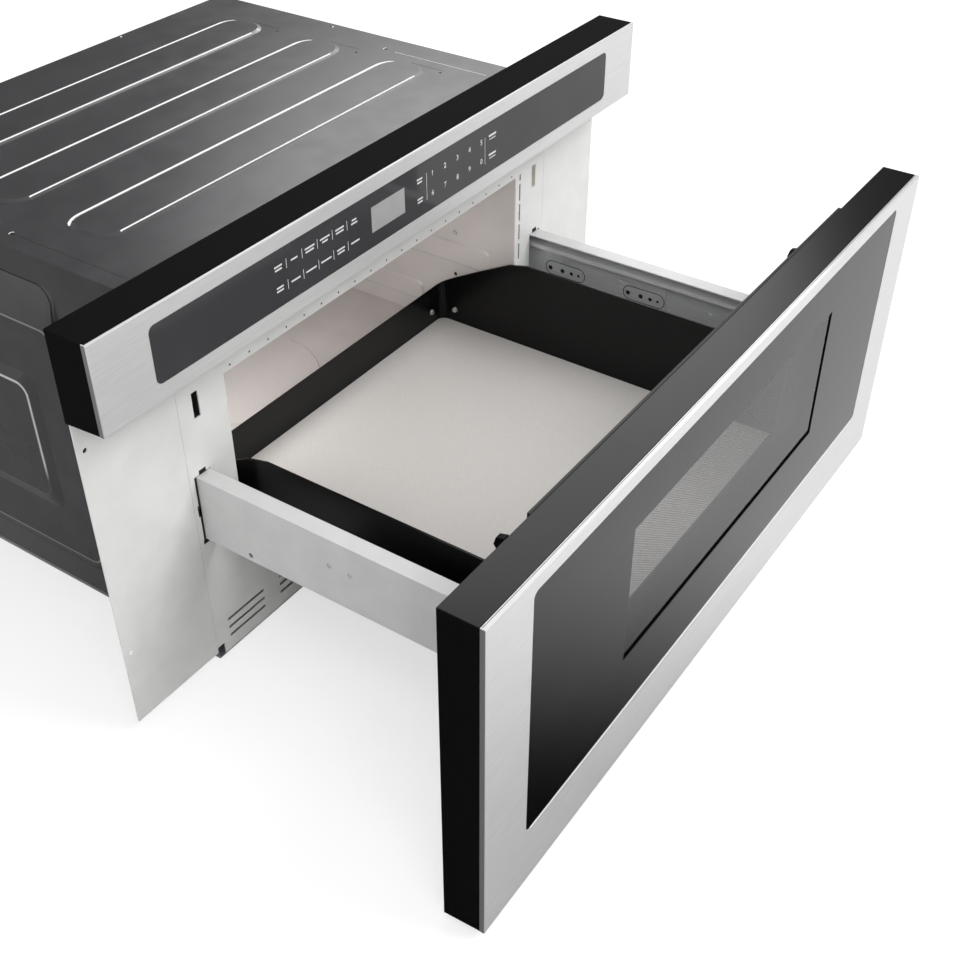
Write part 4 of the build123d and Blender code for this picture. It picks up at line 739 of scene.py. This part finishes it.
class DRAWER_OT_control_print(bpy.types.Operator):
    """Print the numerals, dashes and dividing bars on the control glass and fit the display"""

    bl_idname = "drawer.control_print"
    bl_label = "Control print"

    def execute(self, context):
        sizes = context.scene.drawer_sizes
        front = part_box("control_glass")[0].y
        near, far = front - sizes.mark_depth, front + 0.02 * MM
        marks = bmesh.new()

        def bar(x, z, w, h):
            plate(marks, oblong((x, z), (w, h)), near, far)

        rows = 381.3 * MM, 362.7 * MM
        stroke, divider = 1.5 * MM, 0.5 * MM
        first_column, column_pitch = -186.3, 19.0
        columns = [(first_column + column_pitch * k) * MM for k in range(6)]
        # lengths of the upper and the lower dash of each mark, and 0 where there is one dash
        top_widths = (9, 8), (8, 0), (12, 10), (12, 7), (11, 10), (6, 8)
        low_widths = (8, 8), (11, 0), (13, 0), (13, 0), (10, 9), (11, 0)
        for z, widths in zip(rows, (top_widths, low_widths)):
            for x, (upper, lower) in zip(columns, widths):
                if lower:
                    bar(x, z + stroke, upper * MM, stroke)
                    bar(x, z - stroke, lower * MM, stroke)
                else:
                    bar(x, z, upper * MM, stroke)
            for x in columns[:-1]:
                bar(x + 9.5 * MM, z, divider, 8.5 * MM)
            bar(0.3 * MM, z + stroke, 8 * MM, stroke)
            bar(0.3 * MM, z - stroke, 7 * MM, stroke)
        for x, low_z, top_z in ((10.5, 359, 384.5), (102.3, 358, 383.7)):
            bar(x * MM, (low_z + top_z) / 2 * MM, divider, (top_z - low_z) * MM)
        for z in rows:
            bar(114.5 * MM, z + 1.6 * MM, 12 * MM, 1.9 * MM)
            bar(114.5 * MM, z - 1.8 * MM, 10 * MM, 0.9 * MM)
        first_digit, digit_pitch = 19.3, 19.25
        for z, figures in zip(rows, ("12345", "67890")):
            for k, figure in enumerate(figures):
                middle = ((first_digit + digit_pitch * k) * MM, z)
                digit(marks, figure, middle, sizes.digit_height, near, far)
        piece("control_marks", marks, marking_ink(), "cabinet")

        window = bmesh.new()
        outline = rounded((-45.25 * MM, 372.2 * MM), (46.5 * MM, 23.5 * MM), 0.6 * MM)
        plate(window, outline, front - 0.1 * MM, front + 0.02 * MM)
        piece("display_window", window, MADE_FINISHES["display"], "cabinet")
        return {"FINISHED"}


class DRAWER_OT_plate_spots(bpy.types.Operator):
    """Set the row of small spots above the opening, and the hole and rivet in the oven's wall"""

    bl_idname = "drawer.plate_spots"
    bl_label = "Plate spots"

    def execute(self, context):
        count = context.scene.drawer_sizes.weld_spots
        # The spots above the opening and the oven's hole are dark discs of painted shade.
        hole = dark_hole()
        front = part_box("front_plate")[0].y
        spots = bmesh.new()
        first, pitch, height = -212.4, 23.6, 291
        for k in range(count):
            dimple(spots, ((first + pitch * k) * MM, front, height * MM), (0, -1, 0), 1.0 * MM, 0.12 * MM)
        piece("opening_spots", spots, hole, "cabinet")
        inner = OVEN_WALL * MM
        wall = bmesh.new()
        dimple(wall, (inner, 77 * MM, 149.4 * MM), (-1, 0, 0), 2.2 * MM, 0.2 * MM)
        piece("cavity_hole", wall, hole, "cabinet")
        rivet = bmesh.new()
        dimple(rivet, (inner, 77 * MM, 201 * MM), (-1, 0, 0), 3.0 * MM, 0.9 * MM)
        piece("cavity_rivet", rivet, MADE_FINISHES["screw_steel"], "cabinet")
        return {"FINISHED"}


class DRAWER_OT_cabinet_creases(bpy.types.Operator):
    """Draw the dark spots and crease lines on the cabinet's top, as painted shade, and its light lines and
    spots along the ribs and creases, as painted highlights
    """

    bl_idname = "drawer.cabinet_creases"
    bl_label = "Cabinet creases"

    def execute(self, context):
        top = CABINET_TOP
        # Dark discs and thin dark lines: painted shade in the small holes and in the creases at the ribs'
        # ends.
        spot_and_crease_shade = bmesh.new()
        flat = ((-258.7, 182.4, 1.8), (246.9, 183, 1.8), (224.5, 96, 1.5), (267.7, 275, 1.6))
        for x, y, r in (*flat, (221.7, 203.5, 1.5), (223.1, 315.4, 1.5)):
            dimple(spot_and_crease_shade, (x * MM, y * MM, top * MM), (0, 0, 1), r * MM, 0.15 * MM)
        dark = dark_hole()
        for x, low, high in ((-258.6, 50, 179), (230, 96, 136), (230, 206, 246), (230, 318, 357)):
            ribbon(spot_and_crease_shade, [(x, low), (x, high)], 0.9, (top, top))
        piece("cabinet_spot_and_crease_shade", spot_and_crease_shade, dark, "cabinet")

        # Near-white lines, arcs and spots: painted highlights along the ribs' walls, round two holes and
        # along a crease.
        creases = bmesh.new()
        ribbon(creases, [(245, 53), (245, 170)], 1.6, (top, top))
        for x, y in ((-258.7, 182.4), (246.9, 183)):
            turn = [math.radians(20 + 20 * k) for k in range(7)]
            rim = [(x + 3 * math.cos(a), y + 3 * math.sin(a)) for a in turn]
            ribbon(creases, rim, 0.9, (top, top))
        for x, y in ((113.5, 444), (267.7, 273)):
            dimple(creases, (x * MM, y * MM, top * MM), (0, 0, 1), 1.3 * MM, 0.2 * MM)
        for number in range(RIB_COUNT):
            middle = RIB_FIRST + RIB_PITCH * number
            front, rear = middle - RIB_HALF_WIDTH, middle + RIB_HALF_WIDTH
            wall = (RIB_CROWN - 1.5, RIB_CROWN)
            ribbon(creases, [(-207, front + 2.2), (200, front + 2.2)], 3.4, wall)
            corner = [math.radians(10 * k) for k in range(6)]
            hook = [(204 + 24.9 * math.sin(a), rear - 24 + 24.9 * math.cos(a)) for a in corner]
            ribbon(creases, [(-x, y) for x, y in hook[::-1]] + hook, 3.2, (top, top))
        piece("cabinet_creases", creases, glint_coat(), "cabinet")
        return {"FINISHED"}


class DRAWER_OT_slide_holes(bpy.types.Operator):
    """Paint shade into the holes and round the capsules on the middle slide members, and into the gaps round
    the rails' slots
    """

    bl_idname = "drawer.slide_holes"
    bl_label = "Slide holes"

    def execute(self, context):
        # Dark rings and discs: painted shade round the capsules and in the holes.
        marks = bmesh.new()
        web = SLIDE_WEB * MM
        for side in (-1, 1):
            near, far = side * (web - 0.12 * MM), side * (web + 0.02 * MM)
            for shift in (0.0, -97.5):
                outer = rounded(((shift - 41) * MM, 170 * MM), (50 * MM, 17 * MM), 8 * MM)
                inner = rounded(((shift - 41) * MM, 170 * MM), (48.4 * MM, 15.4 * MM), 7.2 * MM)
                for i in range(len(outer)):
                    j = (i + 1) % len(outer)
                    plate(marks, (outer[i], outer[j], inner[j], inner[i]), near, far, axis=0)
                for y, r in ((-22, 2.6), (-37.4, 2.6), (-48.8, 2.2), (-57.7, 1.6)):
                    hole = (side * web, (y + shift) * MM, 169.4 * MM)
                    dimple(marks, hole, (-side, 0, 0), r * MM, 0.12 * MM)
        piece("slide_hole_shade", marks, dark_hole(), "slide_middles")
        gaps = bmesh.new()
        # painted shade in the strip beside the rail, then in the notches above it, beside it and below it
        notches = (0, 2.2, 141, 209), (-12, -4, 208.6, 213), (0, 3.6, 168, 176), (-4, 3, 137, 141.4)
        for side in (-1, 1):
            edge = side * RAIL_EDGE * MM
            for x0, x1, z0, z1 in notches:
                a, b = edge + side * x0 * MM, edge + side * x1 * MM
                corners = ((a, z0 * MM), (b, z0 * MM), (b, z1 * MM), (a, z1 * MM))
                plate(gaps, corners, -1.34 * MM, -1.15 * MM)  # the plate's face is at -1.2 mm
        piece("slot_gap_shade", gaps, dark_hole(), "cabinet")
        return {"FINISHED"}


class DRAWER_OT_glass_lip(bpy.types.Operator):
    """Roll the bright steel lip below the door glass, and draw the seams on the fascias' tops"""

    bl_idname = "drawer.glass_lip"
    bl_label = "Glass lip"

    def execute(self, context):
        low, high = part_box("door_glass")
        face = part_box("door_fascia")[0].y
        lip = bmesh.new()
        x = high.x - 5 * MM
        section = ((0, -0.9), (-0.35, -0.6), (-0.2, -0.1), (0.5, 0.35), (0.5, -0.9))
        profile = [(face + y * MM, low.z + z * MM) for y, z in section]
        ends = [[lip.verts.new((side * x, y, z)) for y, z in profile] for side in (-1, 1)]
        lip.faces.new(ends[0])
        lip.faces.new(ends[1][::-1])
        for i in range(len(section)):
            j = (i + 1) % len(section)
            lip.faces.new((ends[0][j], ends[0][i], ends[1][i], ends[1][j]))
        piece("glass_lip", lip, bright_edge(), "drawer")
        seams = ("door_fascia", "drawer", 1.2, 0.35), ("panel_fascia", "cabinet", 1.25, 2.5)
        for name, body, back, width in seams:
            low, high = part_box(name)
            seam = bmesh.new()
            strip = oblong((0.0, high.y - back * MM), (high.x - low.x - 2 * MM, width * MM))
            plate(seam, strip, high.z, high.z + 0.1 * MM, axis=2)
            piece(name.replace("fascia", "seam"), seam, matt_moulding(), body)
        return {"FINISHED"}


class DRAWER_OT_stage(bpy.types.Operator):
    """Lay the floor, light it and set the camera"""

    bl_idname = "drawer.stage"
    bl_label = "Stage"

    def execute(self, context):
        self.floor()
        self.world(context.scene)
        self.lamps(context.scene)
        self.camera(context.scene)
        context.scene.view_settings.view_transform = "Standard"
        return {"FINISHED"}

    def floor(self):
        """A pale floor that shows white and keeps the soft shadow of the object."""
        mesh = bmesh.new()
        bmesh.ops.create_grid(mesh, x_segments=1, y_segments=1, size=30)
        for v in mesh.verts:
            v.co.z = -0.5 * MM
        data = bpy.data.meshes.new("floor")
        mesh.to_mesh(data)
        mesh.free()
        obj = bpy.data.objects.new("floor", data)
        bpy.context.scene.collection.objects.link(obj)
        material = bpy.data.materials.new("floor_pale")
        material.use_nodes = True
        t = material.node_tree
        t.nodes.clear()
        path = add(t, "LightPath").outputs
        place = add(t, "TexCoord").outputs["Object"]
        pale = add(t, "BsdfDiffuse", {"Color": linear("#F0F0F0")})
        thin = add(t, "BsdfDiffuse", {"Color": linear("#BEBEBE")})
        lift = add(t, "Emission", {"Color": WHITE, "Strength": 0.6})
        seen = add(t, "AddShader", {0: thin.outputs[0], 1: lift.outputs[0]})
        # what glossy surfaces see of it: bright towards the front right, and all round far off
        across = add(t, "SeparateXYZ", {0: place})
        slope = add(t, "Math", {0: across.outputs[0], 1: across.outputs[1]}, operation="SUBTRACT").outputs[0]
        edge = {"Value": slope, "From Min": 0.15, "From Max": 0.62, "To Min": 0.0, "To Max": 0.78}
        right = add(t, "MapRange", edge, interpolation_type="SMOOTHSTEP").outputs[0]
        rear = {"Value": across.outputs[1], "From Min": -0.1, "From Max": 0.3, "To Min": 0.0, "To Max": 0.25}
        left = add(t, "MapRange", rear).outputs[0]
        near = add(t, "Math", {0: right, 1: left}, operation="MAXIMUM").outputs[0]
        reach = add(t, "VectorMath", {0: place}, operation="LENGTH").outputs["Value"]
        horizon = {"Value": reach, "From Min": 1.2, "From Max": 2.2, "To Min": near, "To Max": 1.0}
        level = add(t, "MapRange", horizon).outputs[0]
        sheen = add(t, "Emission", {"Color": WHITE, "Strength": level})
        # what the camera sees of it: fades to pure white away from the object's shadow
        distance = add(t, "MapRange", {"Value": reach, "From Min": 1.0, "From Max": 2.4}).outputs[0]
        white = add(t, "Emission", {"Color": WHITE})
        faded = add(t, "MixShader", {0: distance, 1: seen.outputs[0], 2: white.outputs[0]})
        camera = add(t, "MixShader", {0: path["Is Camera Ray"], 1: pale.outputs[0], 2: faded.outputs[0]})
        glossy = add(t, "MixShader", {0: path["Is Glossy Ray"], 1: camera.outputs[0], 2: sheen.outputs[0]})
        add(t, "OutputMaterial", {"Surface": glossy.outputs[0]})
        data.materials.append(material)

    def world(self, scene):
        """White behind the object, an even soft light from all round, and a studio of soft
        boxes for the gloss: one high on the right behind, one broad in front, one behind."""
        world = bpy.data.worlds.new("studio")
        scene.world = world
        world.use_nodes = True
        t = world.node_tree
        t.nodes.clear()
        path = add(t, "LightPath").outputs
        way = add(t, "TexCoord").outputs["Generated"]
        studio = 0.08  # dim room between the soft boxes
        for aim, low, high, strength in (
            ((0.707, 0.459, 0.537), 0.963, 0.985, 2.6),
            ((0.2, -0.95, 0.25), 0.2, 0.75, 0.75),
            ((-0.3, 0.95, 0.1), 0.75, 0.98, 0.6),
            ((-0.9, -0.1, 0.4), 0.3, 0.95, 0.4),
        ):
            toward = add(t, "VectorMath", {0: way, 1: aim}, operation="DOT_PRODUCT").outputs["Value"]
            soft = {"Value": toward, "From Min": low, "From Max": high, "To Min": 0.0, "To Max": strength}
            light = add(t, "MapRange", soft, interpolation_type="SMOOTHSTEP").outputs[0]
            studio = add(t, "Math", {0: light, 1: studio}, operation="ADD").outputs[0]
        direct = {0: path["Is Camera Ray"], 1: path["Is Transmission Ray"]}
        shown = add(t, "Math", direct, operation="MAXIMUM").outputs[0]
        gloss = add(t, "Mix", {0: path["Is Glossy Ray"], 2: 0.6, 3: studio}, data_type="FLOAT").outputs[0]
        level = add(t, "Mix", {0: shown, 2: gloss, 3: 1.0}, data_type="FLOAT").outputs[0]
        back = add(t, "Background", {"Color": WHITE, "Strength": level})
        add(t, "OutputWorld", {"Surface": back.outputs[0]})

    def lamps(self, scene):
        """A key from the front right, a fill from the left, a low one behind, one above, and two
        small ones in the oven and the tray. The gloss comes from the world's soft boxes, so the
        lamps don't show in it."""
        for name, place, size, power, aim in (
            ("key_box", (0.9, -1.9, 2.2), 1.6, 47, (0, -0.1, 0.2)),
            ("fill_box", (-1.4, -1.4, 1.7), 1.2, 14, (0, 0, 0.2)),
            ("rear_box", (2.0, 1.6, 1.6), 1.6, 22, (0, 0.1, 0.3)),
            ("top_box", (0.1, -0.15, 2.4), 1.2, 8, (0.1, -0.15, 0.1)),
            ("oven_light", (-0.17, 0.12, 0.25), 0.08, 0.45, (0.25, 0.3, 0.12)),
            ("tray_light", (0, -0.25, 0.34), 0.3, 0.3, (0, -0.3, 0.1)),
        ):
            light = bpy.data.lights.new(name, "AREA")
            light.shape = "SQUARE"
            light.size = size
            light.energy = power
            lamp = bpy.data.objects.new(name, light)
            scene.collection.objects.link(lamp)
            lamp.location = place
            lamp.rotation_euler = (Vector(aim) - Vector(place)).to_track_quat("-Z", "Y").to_euler()
            lamp.visible_camera = lamp.visible_glossy = False

    def camera(self, scene):
        """The viewpoint solved from the corners of the door, panel, flanges and tray."""
        turn = Vector(VIEW_TURN)
        view = Matrix.Rotation(turn.length, 3, turn.normalized())
        lens = bpy.data.cameras.new("camera")
        lens.sensor_width = SENSOR_WIDTH
        lens.lens = SENSOR_WIDTH * FOCAL_PIXELS / PHOTO_PIXELS
        lens.clip_start, lens.clip_end = 0.05, 60
        camera = bpy.data.objects.new("camera", lens)
        scene.collection.objects.link(camera)
        axes = Matrix((view[0], -view[1], -view[2])).transposed().to_4x4()
        camera.matrix_world = Matrix.Translation(VIEW_POINT) @ axes
        scene.camera = camera


class DRAWER_PT_panel(bpy.types.Panel):
    """Lists the steps, and the sizes and colours that can be changed"""

    bl_idname = "DRAWER_PT_panel"
    bl_label = "Microwave drawer"
    bl_space_type = "VIEW_3D"
    bl_region_type = "UI"
    bl_category = "Drawer"

    def draw(self, context):
        for step in STEPS:
            self.layout.operator(step.bl_idname)
        for group in (context.scene.drawer_sizes, context.scene.drawer_colours):
            for name in type(group).__annotations__:
                self.layout.prop(group, name)


STEPS = (
    DRAWER_OT_finishes,
    DRAWER_OT_edges,
    DRAWER_OT_control_print,
    DRAWER_OT_plate_spots,
    DRAWER_OT_cabinet_creases,
    DRAWER_OT_slide_holes,
    DRAWER_OT_glass_lip,
    DRAWER_OT_stage,
)
CLASSES = (DrawerSizes, DrawerColours, *STEPS, DRAWER_PT_panel)


def register():
    for cls in CLASSES:
        bpy.utils.register_class(cls)
    bpy.types.Scene.drawer_sizes = PointerProperty(type=DrawerSizes)
    bpy.types.Scene.drawer_colours = PointerProperty(type=DrawerColours)


def unregister():
    del bpy.types.Scene.drawer_colours
    del bpy.types.Scene.drawer_sizes
    for cls in reversed(CLASSES):
        bpy.utils.unregister_class(cls)


def main():
    register()
    for step in STEPS:
        group, call = step.bl_idname.split(".")
        getattr(getattr(bpy.ops, group), call)()


if __name__ == "__main__":
    main()
